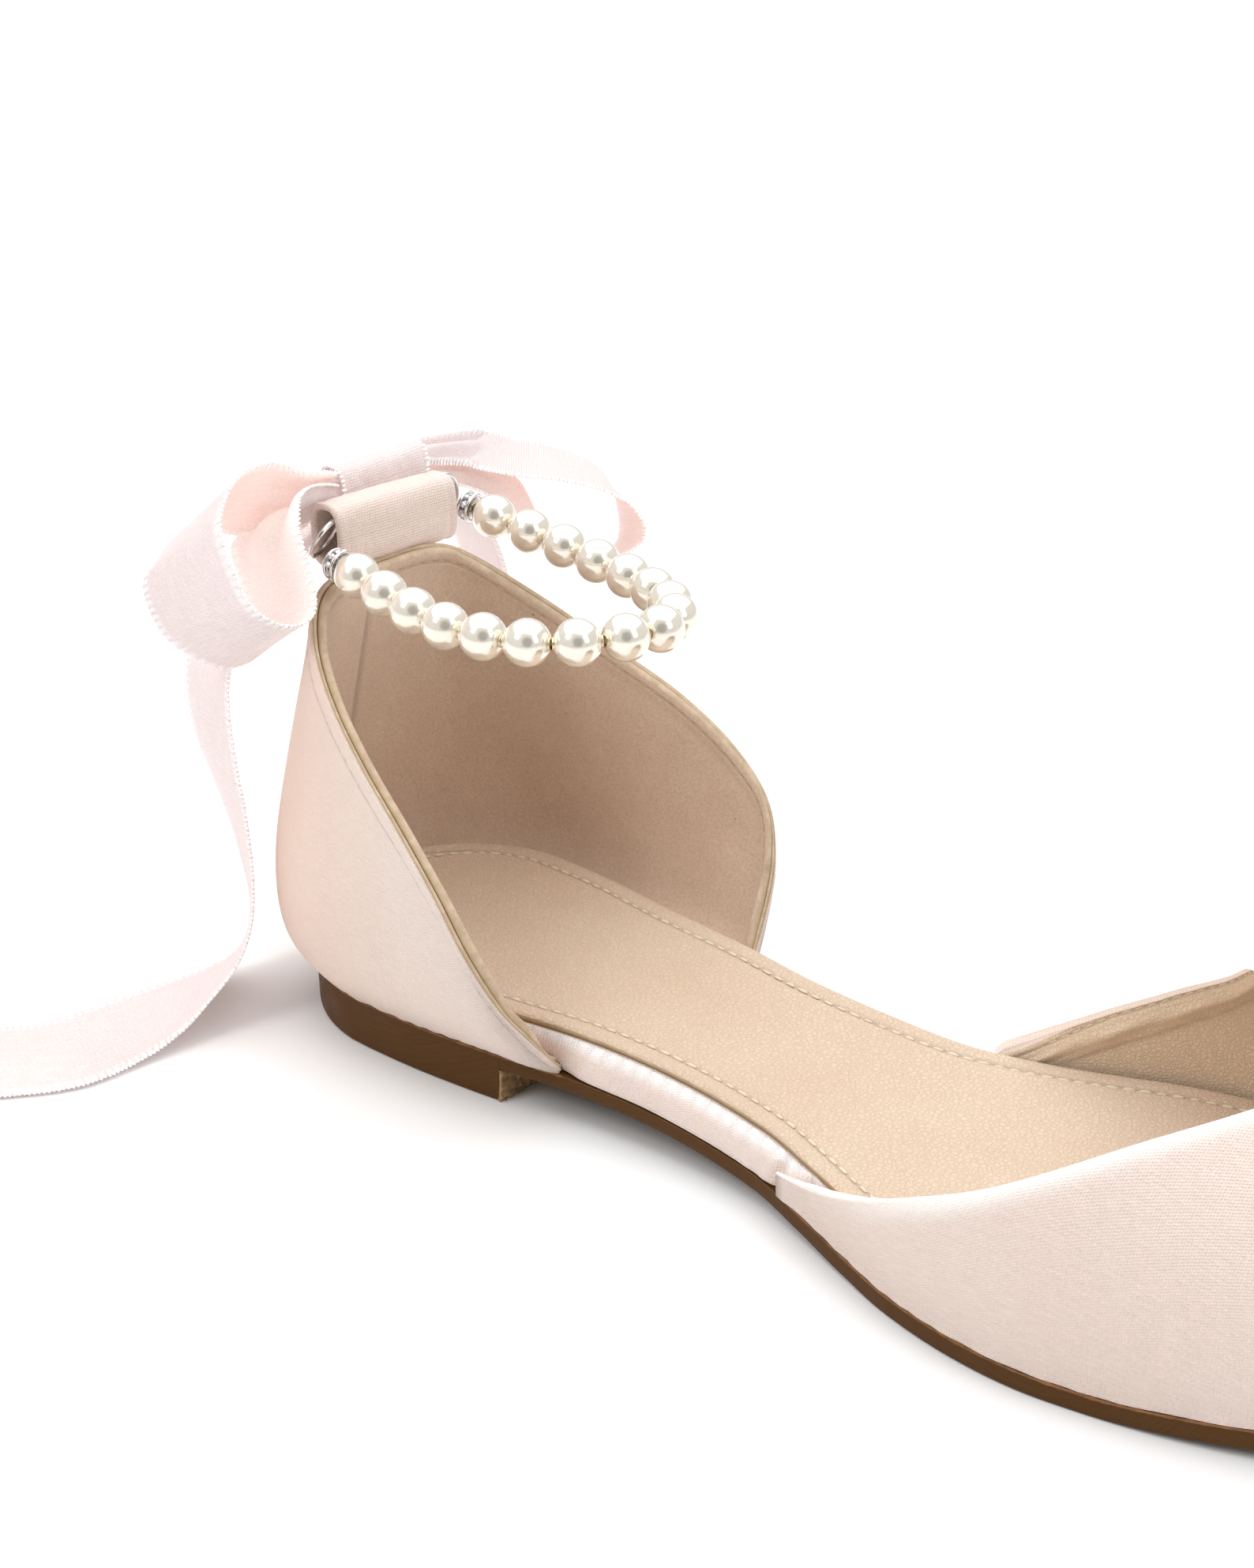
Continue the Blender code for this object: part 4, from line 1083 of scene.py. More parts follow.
def set_studio():
    """White surroundings, three softboxes and a plain pale floor."""
    scene = bpy.context.scene
    scene.view_settings.view_transform = "Standard"
    scene.world = bpy.data.worlds.new("studio")
    scene.world.use_nodes = True
    tree = scene.world.node_tree
    sky = tree.nodes["Background"]
    sky.inputs["Strength"].default_value = WORLD_STRENGTH
    spot = add(tree, "ShaderNodeTexCoord").outputs["Generated"]
    towards = add(tree, "ShaderNodeVectorMath", {0: spot, 1: (0.62, -0.64, 0.40)},
                  operation="DOT_PRODUCT").outputs["Value"]
    tree.links.new(stops(tree, towards, [
        (0.0, (1.0, 1.0, 1.0)), (0.86, (0.95, 0.95, 0.95)), (0.93, (0.05, 0.05, 0.05))]),
        sky.inputs["Color"])
    add_softbox("overhead_softbox", (-0.50, 0.70, 1.60), (-0.35, 0.45, 0.0), (3.6, 3.6), 50.0)
    add_softbox("front_softbox", (-0.22, -0.75, 0.80), (0.0, 0.0, 0.07), (0.35, 0.45), 2.6)
    add_softbox("toe_softbox", (0.80, 0.00, 0.55), (0.10, 0.0, 0.05), (0.3, 0.5), 1.2)
    finish = start_finish("pale_floor", (0.93, 0.93, 0.93), 0.65, {"Specular IOR Level": 0.2})
    tree = finish[1]
    mist = grain(tree, body_place(tree, 0.004), 2.0, 0.5)
    base = stops(tree, mist, [(0.3, (0.925, 0.925, 0.925)), (0.7, (0.94, 0.94, 0.94))])
    mesh = bpy.data.meshes.new("floor")
    corners = [(x * FLOOR_REACH, y * FLOOR_REACH, 0)
               for x, y in ((-1, -1), (1, -1), (1, 1), (-1, 1))]
    mesh.from_pydata(corners, [], [(0, 1, 2, 3)])
    mesh.materials.append(settle(finish, base))
    put_in_scene("floor", mesh)


# ---- bow ------------------------------------------------------------------------------------
def ribbon_grid(route, along):
    """Middle surface of a ribbon: crowned, pleated where it is gathered, softly uneven."""
    rows = curve_through(route, along, measure=lambda row: row[:3] + 0.5 * row[3:])
    shares = np.linspace(0.0, 1.0, 25)
    grid = rows[:, None, :3] + rows[:, None, 3:] * shares[None, :, None]
    normals = unit(np.cross(np.gradient(grid, axis=0), np.gradient(grid, axis=1)))
    width = np.linalg.norm(rows[:, 3:], axis=1)
    fullness = np.clip(RIBBON_WIDTH / np.maximum(width, 1.0), 1.0, 6.0)
    folds = 2.0                   # waves across the ribbon where it is gathered
    height = np.minimum(width / folds / math.pi * np.sqrt(np.maximum(fullness - 1.15, 0.0)), 0.75)
    wave = np.sin(2 * math.pi * folds * shares[None, :] + 0.6) * height[:, None]
    crown = 0.45 * (1.0 - (2.0 * shares[None, :] - 1.0) ** 2) * ripple(rows[:, :3], 30.0)[:, None]
    soft = 0.30 * ripple(grid, 13.0, 4.0)
    flat = ease(grid[..., 2], 1.2, 6.0)
    return pushed(grid, normals, wave + (crown + soft) * (0.15 + 0.85 * flat))


def make_ribbon(name, node, route, along, face, back, hanging, picots):
    """A stretch of picot edged ribbon: a hanging end is a free flat cord, a loop is a sheet.

    face is the finish of a tail and of a loop's outside, back that of a loop's inside.
    """
    grid = ribbon_grid(route, along)
    normals = unit(np.cross(np.gradient(grid, axis=0), np.gradient(grid, axis=1)))
    middle = grid.reshape(-1, 3).mean(axis=0)
    inwards = float(np.sum(normals * (middle - grid))) > 0
    half = 0.5 * RIBBON_WALL * normals
    loops = wall_loops(grid + half, grid - half, 2, 2)
    mark = [1.0, 1.0] + [0.0] * (grid.shape[1] - 4) + [1.0, 1.0]
    marks = np.tile([1.0] + mark + [1.0, 1.0] + mark + [1.0], (len(grid), 1))
    # A loop's inside takes its back finish, a deeper coral copy that glows: painted light bounced
    # inside the loop.
    first_half = loops.shape[1] // 2
    obj = skin_tube(name, loops, [face, back], sharp=70.0, marks=marks,
                    paint=lambda k: 0 if hanging or (k < first_half) != inwards else 1)
    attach(obj, "root")
    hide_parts(node)
    picots += [(grid[:, 0], normals[:, 0]), (grid[:, -1], normals[:, -1])]


def make_bow(face, backs, tree, picot_thread):
    """The bow's two loops and two tails, with their picot edges and the wrapped knot."""
    picots = []
    for name, node, route, along, back, hanging in (
            ("bow_tail_outer", "ribbon_tail_outer", TAIL_OUTER, 190, face, True),
            ("bow_tail_inner", "ribbon_tail_inner", TAIL_INNER, 170, face, True),
            ("bow_loop_outer", "ribbon_loop_outer", LOOP_OUTER, 150, backs[0], False),
            ("bow_loop_inner", "ribbon_loop_inner", LOOP_INNER, 150, backs[1], False)):
        make_ribbon(name, node, route, along, face, back, hanging, picots)
    make_knot(face, picots)
    sew("ribbon_picots", tree, picots, 0.85, 0.46, 1.15, 0.50, picot_thread, "ribbon", 0.2)


def make_knot(finish, picots):
    """The band wrapped round the bow's middle, drawn in with small gathers."""
    centre, half = box_middle("ribbon_knot")
    stations = np.linspace(-1.0, 1.0, 61)
    angles = np.linspace(0.0, 2.0 * math.pi, 72, endpoint=False)
    loops = []
    for s in stations:
        swell = 1.0 - 0.10 * (1.0 - s * s)
        ring = []
        for angle in angles:
            x, z = (swell * part for part in squared_oval(angle, half, 2.7))
            gather = 0.16 * math.sin(7.0 * s + 1.3 * math.sin(angle + 0.5) + 0.8)
            gather += 0.07 * math.sin(17.0 * s + 2.0 * math.sin(angle * 2.0))
            grow = 1 + gather / math.hypot(x, z)
            ring.append((centre[0] + x * grow, centre[1] + s * half[1], centre[2] + z * grow))
        loops.append(ring)
    loops = np.array(loops)
    middle = loops.mean(axis=1, keepdims=True)
    grid, inside = (middle + (loops - middle) * share for share in (1.0, 0.86))
    wall = wall_loops(grid.transpose(1, 0, 2), inside.transpose(1, 0, 2), 2, 2)
    obj = skin_tube("bow_knot", wall, finish, closed=True, sharp=70.0)
    on_root(obj, "ribbon", "ribbon_knot")
    core = [loops[k] + (middle[k] - loops[k]) * 0.2 for k in (3, 20, 40, 57)]
    core = skin_tube("bow_knot_core", core, finish, caps="fan")
    on_root(core, "ribbon")
    for k in (0, -1):
        ring = np.concatenate([loops[k], loops[k][:1]])
        picots.append((ring, unit(ring - middle[k])))


# ---- upper ----------------------------------------------------------------------------------
def quarter_section(foot, belly, top, shares):
    """Points from the feather line over the belly to the topline."""
    foot, belly, top = (np.array(point, float) for point in (foot, belly, top))
    leave = (belly - foot) * np.array([2.0, 2.0, 0.8])
    pass_by = 0.5 * (top - foot)
    arrive = top - belly
    points = []
    for share in shares:
        if share < 0.4:
            t, start, end, go, come = share / 0.4, foot, belly, leave, pass_by
        else:
            t, start, end, go, come = (share - 0.4) / 0.6, belly, top, pass_by * 1.2, arrive
        points.append(blend_curve(t, start, go, end, come))
    return points


def quarter_grid():
    """Outer face of the heel quarter, from its outer wing tip round to the inner one."""
    rows = curve_through(QUARTER_ROWS, 110)
    shares = np.concatenate([np.linspace(0.0, 0.84, 34)[:-1], np.linspace(0.84, 1.0, 26)])
    grid = []
    for side, half in ((-1, rows[::-1]), (1, rows[1:])):
        for foot_x, belly_x, belly_half, belly_z, top_x, top_half, top_z in half:
            shift = INNER_TIP_STRETCH if side > 0 else 0.0
            fx, bx, tx = (x + shift * max(x, 0.0) for x in (foot_x, belly_x, top_x))
            foot = (fx, 0.995 * edge_y(fx, side), feather_z(fx) + 0.3)
            grid.append(quarter_section(foot, (bx, side * belly_half, belly_z),
                                        (tx, side * top_half, top_z), shares))
    grid = np.array(grid)
    run = travel_of(grid[:, -1])
    near = np.clip((np.minimum(run, run[-1] - run) - 1.2) / 5.0, 0.0, 1.0)
    return shortened(grid, np.maximum(rounded(near), 0.03))


def make_quarter(satin, suede, cut, tree, light_thread, tan_thread):
    """Satin heel quarter with a folded topline, and its suede lining."""
    grid = quarter_grid()
    below = from_top(grid)
    height = below[:, :1]
    run = travel_of(grid[:, -1])[:, None]
    near = np.minimum(run, run[-1, 0] - run)
    normals = skin_normals(grid)
    low = normals[:, 6:7]
    normals = unit(pushed(low, normals - low, ease(near, 12.0, 28.0)))
    tall = ease(height, 7.0, 20.0)
    fold_at = 3.9
    crease = bell(below, fold_at, 0.34) * tall
    groove = -0.30 * crease
    band = 0.16 * (1.0 - ease(below, fold_at - 0.5, fold_at)) * tall
    pucker = 0.07 * np.sin(run * 2.1 + 3.0 * ripple(grid, 9.0)) * tall
    pucker = pucker * bell(below, fold_at + 0.8, 1.3)
    drawn = 0.10 * np.sin(run * 1.15 + 4.0 * ripple(grid, 14.0, 7.0))
    drawn = drawn * bell(height - below, 0.0, 3.5) * tall
    soft = 0.28 * ripple(grid, 22.0, 2.0) * ease(below, 4.0, 14.0)
    taper = ease(near, -1.0, 8.0)
    tuck = -0.9 * (1.0 - taper)
    face = pushed(grid, normals, groove + band + pucker + drawn + soft + tuck)
    back = pushed(grid, normals, tuck - SATIN_WALL * taper - 0.15)
    # Marks paint shade into the satin: along the crease of the fold, just inside the topline, and
    # in a dark line over the cut top edge.
    rim = 1.0 - ease(below, 0.0, 0.6)
    obj = skin_tube("quarter_satin", wall_loops(face, back, 6), [satin, cut],
                    marks=wall_marks(crease, rim, 6, (0.0, 0.3, 0.9, 0.2, 0.0, 0.0)),
                    paint=lambda k: 1 if grid.shape[1] + 1 < k < grid.shape[1] + 6 else 0)
    on_root(obj, "satin", "quarter")

    lining = pushed(grid, normals, tuck - (SATIN_WALL + 0.05) * taper - 0.15)
    taper = 0.45 + 0.55 * ease(near, 2.0, 10.0)
    away = unit(lining[:, -1] - lining[:, -2])
    lining = pushed(lining, away[:, None, :], -0.2 * tall * (1.0 - ease(below, 0.0, 5.0)))
    lining = shortened(lining, rounded(np.clip((near - 1.0) / 5.0, 0.002, 1.0)))
    seam_row = int(np.argmin(np.abs(grid[:, 20, 1] + 2.5) + 100.0 * (grid[:, 20, 0] > 0.0)))
    seam_run = travel_of(grid[:, 20])
    seam = np.abs(seam_run - seam_run[seam_row])[:, None]
    wall = 1.15 + 0.5 * (1.0 - ease(below, 1.0, 5.0)) + 0.12 * ripple(grid, 16.0, 5.0)
    inner = pushed(lining, normals, -(wall * taper + 0.05))
    lap = 0.15 * ease(seam_run[seam_row] - seam_run, 0.0, 0.8)[:, None]
    groove = bell(below, 1.7, 0.34) * tall
    step = lap - 0.30 * bell(seam, 0.0, 0.7) - 0.25 * groove
    inner = pushed(inner, normals, -step * ease(below, 0.8, 1.5))
    shade = np.maximum(0.8 * groove, 0.8 * bell(seam, 0.0, 0.45))
    obj = skin_tube("quarter_lining", wall_loops(lining, inner, 4), [suede, cut],
                    marks=wall_marks(np.ones_like(shade), shade, 4),
                    paint=lambda k: 1 if 0 <= k - grid.shape[1] + 1 < 5 else 0)
    on_root(obj, "insole_leather")

    line, outs = line_below(face, normals, fold_at)
    keep = slice(9, -9)           # clear of both wing tips
    sew("topline_stitches", tree, [(line[keep], outs[keep])], 2.7, 1.9, 0.42, 0.34,
        light_thread, "satin")
    line, outs = line_below(inner, -normals, 1.7)
    sew("lining_stitches", tree, [(line[keep], outs[keep])], 2.7, 1.9, 0.45, 0.36,
        tan_thread, "insole_leather")


def last_point(x, across):
    """Point of the last's skin: across -1 is the outer feather line, 0 the crest, 1 the inner."""
    side = -1 if across < 0 else 1
    t = 1.0 - abs(across)
    foot_y = edge_y(x, side)
    foot_z = feather_z(x) + 1.5
    middle_y = 0.5 * (edge_y(x, -1) + edge_y(x, 1))
    rise = max(at_x(CREST_ROWS, 1, x) - foot_z, 0.0)
    half = foot_y - middle_y
    belly = side * min(4.0, 0.08 * rise)
    handles = ((foot_y, foot_z), (foot_y + belly, foot_z + 0.62 * rise),
               (middle_y + 0.52 * half, foot_z + rise), (middle_y, foot_z + rise))
    weights = ((1 - t) ** 3, 3 * t * (1 - t) ** 2, 3 * t * t * (1 - t), t**3)
    return (x, sum(w * h[0] for w, h in zip(weights, handles)),
            sum(w * h[1] for w, h in zip(weights, handles)))


def vamp_grid():
    """Outer face of the vamp, feather line to rim, from its outer start round the throat."""
    tip_x = TIP_CENTRE[0] + TIP_RADIUS - 0.05
    shares = np.concatenate([np.linspace(0.0, 0.22, 22)[:-1], np.linspace(0.22, 1.0, 26)])
    ways = []
    for table, side in ((VAMP_OUTER, -1), (VAMP_INNER, 1)):
        rows = curve_through(table + [(tip_x, THROAT_X - 0.1, 0.009)], 76)
        ways.append([[(rim_x + (foot_x - rim_x) * s, side * (rim_u + (1.0 - rim_u) * s))
                      for s in shares] for foot_x, rim_x, rim_u in rows])
    middle = []
    for a in np.linspace(-1.0, 1.0, 43)[1:-1]:
        rim_x = THROAT_X - 0.1 * a * a
        middle.append([(rim_x + (tip_x - rim_x) * s, 0.009 * a + 0.991 * a * s) for s in shares])
    grid = []
    for way in ways[0] + middle + ways[1][::-1]:
        points = [last_point(x, across) for x, across in way]
        x, y, z = points[-1]
        grid.append((points + [(x, y, z - 1.15)])[::-1])
    grid = np.array(grid)
    run = travel_of(grid[:, -1])
    return shortened(grid, rounded(np.clip((run[-1] - run) / 3.5, 0.01, 1.0)))


def make_vamp(satin, rim_satin_painted_glow, leather, tree, cream_thread):
    """Satin vamp with a turned rim, and its leather lining with a stitched facing."""
    grid = vamp_grid()
    normals = skin_normals(grid)
    below = from_top(grid)
    height = below[:, :1]
    run = travel_of(grid[:, -1])[:, None]
    tall = ease(height, 5.0, 22.0)
    soft = 0.25 * ripple(grid, 26.0, 9.0) * ease(below, 2.0, 10.0) * tall
    start = 1.0 - ease(grid[..., 0], 90.0, 112.0)
    gather = 0.12 * np.sin(grid[..., 0] * 1.3 + grid[..., 2] * 0.8) * start
    gather = gather * (1.0 - ease(below, 5.0, 9.0))
    drawn = 0.09 * np.sin(run * 1.0 + 4.0 * ripple(grid, 15.0, 3.0))
    drawn = drawn * bell(height - below, 0.0, 3.0)
    lead = np.minimum(run, run[-1, 0] - run)
    proud = 0.55 * bell(lead, 0.0, 3.0)
    rolled = -1.4 * (1.0 - rounded(np.clip(below / 3.6, 0.0, 1.0))) * tall
    gather = gather * ease(below, 0.5, 2.0)
    face = pushed(grid, normals, soft + gather + drawn + proud + rolled)
    taper = ease(lead, -2.0, 9.0)
    under = ease(below, 1.6, 2.0)
    turned = (1.8 + 0.3 * (1.0 - np.minimum(below / 1.6, 1.0)) * tall) * (1.0 - under)
    turned = turned + 0.85 * under
    back = pushed(grid, normals, -turned * taper)
    # Marks paint light into the satin: painted shade at the vamp's leading ends and in a line
    # inside the turned rim, a painted highlight just below the rim and over its rounded edge. The
    # turned rim's inside takes the rim satin, a lighter copy that glows: painted light.
    rim = bell(below, 1.7, 0.3)
    painted_highlight = -0.85 * bell(below, 0.6, 2.2) * tall
    obj = skin_tube("vamp_satin", wall_loops(face, back, 6), [satin, rim_satin_painted_glow],
                    marks=wall_marks(bell(lead, 0.0, 0.6) + painted_highlight, rim, 6,
                                     (-0.95, -0.9, -0.8, -0.7, -0.6, -0.5)),
                    paint=lambda k: 0 if k < grid.shape[1] + 1 else 1, lay=straight_grain)
    on_root(obj, "satin", "vamp")

    lining = pushed(grid, normals, -(0.90 * taper + 0.02))
    away = unit(lining[:, -1] - lining[:, -2])
    drop = 1.5 * tall + 3.0 * (1.0 - ease(grid[:, -1:, 0], 98.0, 116.0))
    lining = pushed(lining, away[:, None, :], -drop * (1.0 - ease(below, 0.0, 9.0)))
    band = 8.5                    # width of the facing
    facing = 0.30 * (1.0 - ease(below, band - 0.3, band + 0.1)) * tall
    groove = bell(below, 0.5, 0.4)
    near_start = 1.0 - ease(grid[..., 0], 118.0, 142.0)
    pleat = 0.20 * np.sin(grid[..., 0] * 0.55 + 0.35 * below) * near_start
    pleat = pleat * ease(below, 2.4, 4.0) * (1.0 - ease(below, band - 1.5, band))
    pleat = pleat + bell(below, 4.2, 2.5) * tall
    move = facing - 0.24 * groove + pleat
    move = move + 0.20 * ripple(grid, 12.0, 6.0) * ease(below, 3.0, 9.0)
    inner = pushed(lining, normals, -(0.85 + move * ease(below, 0.4, 1.2)) * taper)
    edge_of_facing = bell(below, band, 0.35) * tall
    shade = np.maximum(0.9 * groove, 0.6 * edge_of_facing)
    obj = skin_tube("vamp_lining", wall_loops(lining, inner, 4), leather,
                    marks=wall_marks(np.ones_like(shade), shade, 4))
    on_root(obj, "insole_leather")

    line, outs = line_below(inner, -normals, 0.5)
    sew("vamp_stitches", tree, [(line[6:-6], outs[6:-6])], 2.4, 1.75, 0.40, 0.34,
        cream_thread, "insole_leather")


def make_tab(satin, inside):
    """Padded satin tab rolled to a tunnel over the back of the topline."""
    centre, half = box_middle("heel_tab")
    stations = np.linspace(-1.0, 1.0, 61)
    angles = np.linspace(0.0, 2.0 * math.pi, 84, endpoint=False)
    outer, inner = [], []
    for angle in angles:
        x, z = squared_oval(angle, half, 3.2)
        row, back = [], []
        for s in stations:
            swell = 1.0 - 0.03 * bell(abs(s), 0.90, 0.05)
            drop = -0.75 * (s + 1.0)
            tall = 1.0 + 0.03 * (s + 1.0)
            row.append((x * swell, s * (half[1] - 0.7), z * swell * tall + drop))
            back.append((x * (1 - 1.5 / half[0]), s * (half[1] - 0.7),
                         z * (1 - 1.5 / half[2]) * tall + drop))
        outer.append(row)
        inner.append(back)
    outer = np.array(outer) + centre
    inner = np.array(inner) + centre
    normals = unit(outer - (centre + (outer - centre) * np.array([0.0, 1.0, 0.0])))
    soft = 0.16 * ripple(outer, 7.0, 1.0) + 0.05 * ripple(outer * np.array([1, 0.2, 1]), 1.6, 2.0)
    outer = pushed(outer, normals, soft - 0.10)
    wide = outer.shape[1]
    obj = skin_tube("tab_satin", wall_loops(outer, inner, 6, 6), [satin, inside], closed=True,
                    sharp=70.0, paint=lambda k: 1 if wide + 8 <= k < 2 * wide + 8 else 0)
    on_root(obj, "satin", "heel_tab")


# ---- bottom ---------------------------------------------------------------------------------
def toe_share(x):
    """0 up to the ball, 1 at the front end of the insole."""
    return min(max((x - 150.0) / 63.0, 0.0), 1.0)


def board_inset(x):
    """Board edge inside the sole edge, more under the low toe."""
    return 2.9 + 3.4 * toe_share(x)


def insole_level(x, across, half_width):
    """Top of the insole board at x, across -1 to 1, dished along its middle."""
    dish = 1.2 * (1.0 - across * across) * min(half_width / 18.0, 1.0) ** 2
    return feather_z(x) + (6.6 - dish) * (1.0 - 0.62 * toe_share(x))


STITCH_INSET = 3.9                # stitches of the sock inside its edge


def make_sock(leather, raw, tree, cream_thread):
    """Leather sock with a cut edge and a line of stitches round it."""
    near_edge = (0.0, 0.25, 0.7, 1.5, 2.6, 3.3, 3.7, 4.1, 4.5, 5.2, 7.0)
    loops, marks = [], []
    for left, right in edge_pairs(board_inset, 213.0, 150):
        half = 0.5 * math.dist(left, right)
        scale = min(1.0, 0.9 * half / near_edge[-1])
        shares = [d * scale / (2 * half) for d in near_edge]
        shares += list(np.linspace(shares[-1], 0.5, 9)[1:])
        shares = shares + [1.0 - s for s in shares[-2::-1]]
        top, low, mark = [], [], []
        for s in shares:
            x = left[0] + (right[0] - left[0]) * s
            y = left[1] + (right[1] - left[1]) * s
            from_edge = min(s, 1.0 - s) * 2 * half
            level = insole_level(x, 2 * s - 1, half)
            groove = bell(from_edge, STITCH_INSET, 0.42)
            sink = 0.36 * groove
            sink += 0.55 * (1.0 - min(from_edge / 0.8, 1.0)) ** 2
            sink += 0.16 * float(ripple([(x, y, 0.0)], 24.0, 3.0)[0])
            top.append((x, y, level + 1.75 - sink))
            low.append((x, y + 0.45 * (0.5 - s) * (from_edge < 0.1), level + 0.15))
            # Marks paint shade: in the stitch groove, and over the cut edge, darkest at its foot
            # where it meets the rand.
            mark.append(0.9 * groove)
        loops.append(top + low[::-1])
        marks.append(mark + [1.0] * len(low))
    across = len(loops[0]) // 2
    obj = skin_tube("leather_sock", loops, [leather, raw], sharp=45.0, marks=marks,
                    paint=lambda k: 0 if k < across - 1 else 1)
    on_root(obj, "insole_leather", "insole_sock")
    inside = edge_pairs(lambda x: board_inset(x) + STITCH_INSET, 205.0, 170)
    wide = edge_pairs(board_inset, 205.0, 170)
    run = [p[0] for p in inside[::-1]] + [p[1] for p in inside]
    halves = [0.5 * math.dist(*p) for p in wide]
    halves = halves[::-1] + halves
    line = []
    for (x, y), half in zip(run, halves):
        middle = 0.5 * (edge_y(x, -1) + edge_y(x, 1))
        line.append((x, y, insole_level(x, min(abs(y - middle) / half, 1.0), half) + 1.58))
    outs = np.tile([0.0, 0.0, 1.0], (len(line), 1))
    sew("sock_stitches", tree, [(np.array(line), outs)], 2.75, 1.95, 0.62, 0.55, cream_thread,
        "insole_leather")


def make_board(satin):
    """Insole board wrapped in satin, rolled out over the sole's edge at the waist."""
    loops, marks = [], []
    downs = np.linspace(0.0, 1.0, 26)[1:-1] ** 1.5
    # The marks raise cross ribs along the rolled top and paint it lighter there: a painted
    # highlight where the roll faces up to the light.
    ribs_and_highlight = [1.0 - float(ease(d, 0.04, 0.40)) for d in downs]
    for left, right in edge_pairs(board_inset, 213.0, 420):
        half = 0.5 * math.dist(left, right)
        seat = feather_z(left[0]) + 0.03
        top = [(x, y, insole_level(x, across, half) - 0.05)
               for (x, y), across in zip(between(left, right), np.linspace(-1.0, 1.0, 9))]
        sides = []
        for side, point in ((1, right), (-1, left)):
            x = point[0]
            begin, end = (43.0, 88.0) if side < 0 else (47.0, 94.0)
            shown = 0.4 * ease(x, 8.0, 20.0) + 0.6 * ease(x, begin - 4.0, begin + 5.0)
            shown *= 1.0 - ease(x, end + 1.0, end + 9.0)
            shown *= 1.0 - 0.5 * bell(x, end + 0.3, 1.2)
            ends = bell(x, end - 2.0, 5.0) + 0.6 * bell(x, begin, 4.0)
            level = top[-1][2] if side > 0 else top[0][2]
            column = []
            for d in downs:
                roll = 3.05 * rounded(d) - 0.25 * ease(d, 0.8, 1.0)
                crease = 0.22 * float(ripple([(x, d * 5.0, side)], 8.0, 8.0)[0])
                tuck = 0.12 * ends * math.sin(x * 1.6 + d * 5.0)
                out = shown * (roll + (crease + tuck) * min(4.0 * d, 1.0))
                column.append((x, point[1] + side * max(out, 0.0),
                               level + (seat - level) * d))
            sides.append(column)
        loops.append(top + sides[0] + [(*right, seat), (*left, seat)] + sides[1][::-1])
        marks.append([0.0] * len(top) + ribs_and_highlight + [0.0, 0.0] + ribs_and_highlight[::-1])
    obj = skin_tube("wrapped_board", loops, satin, sharp=60.0, caps="fan", marks=marks)
    on_root(obj, "satin", "insole_board")


def make_outsole(dyed, edge_line):
    """Thin outsole with softened edges, and the rough cement line where the satin meets it."""
    loops = []
    outer = edge_pairs(0.0, SOLE_ROWS[-1][0], 190) + tip_pairs(0.0)
    inner = edge_pairs(0.6, SOLE_ROWS[-1][0], 190) + tip_pairs(0.6)
    for (left, right), (low_left, low_right) in zip(outer, inner):
        top = feather_z(left[0])
        low = bottom_z(left[0])
        middle = 0.5 * (top + low) + 0.2
        ease_in = [(0.04, 0.34), (0.16, 0.16), (0.34, 0.04)]
        right_turn = [(right[0], right[1] - a, low + b) for a, b in ease_in]
        left_turn = [(left[0], left[1] + a, low + b) for a, b in ease_in[::-1]]
        loops.append([(*p, top) for p in between(left, right)] + [(*right, middle)] + right_turn
                     + [(*p, low) for p in between(low_right, low_left)] + left_turn
                     + [(*left, middle)])
    obj = skin_tube("outsole_leather", loops, dyed, sharp=40.0, caps="fan")
    on_root(obj, "sole_leather", "outsole")

    rim = edge_pairs(-0.02, SOLE_ROWS[-1][0], 420) + tip_pairs(-0.02)
    run = [p[0] for p in rim[::-1]] + [p[1] for p in rim]
    centres = np.array([(x, y, feather_z(x) + 0.02) for x, y in run])
    ways = unit(np.gradient(centres, axis=0))
    up = np.array([0.0, 0.0, 1.0])
    outs = unit(np.cross(ways, up))
    rough = 0.20 + 0.20 * np.abs(ripple(centres, 1.7)) + 0.10 * ripple(centres, 7.0, 3.0)
    shown = np.where((centres[:, 0] > 42) & (centres[:, 0] < 92), 0.2, 0.9)
    loops = [ring_round(centre, 0.8 * out, up, thick, 8)
             for centre, out, thick in zip(centres, outs, rough * shown)]
    obj = skin_tube("feather_cement", loops, edge_line, caps="fan")
    on_root(obj, "sole_leather")


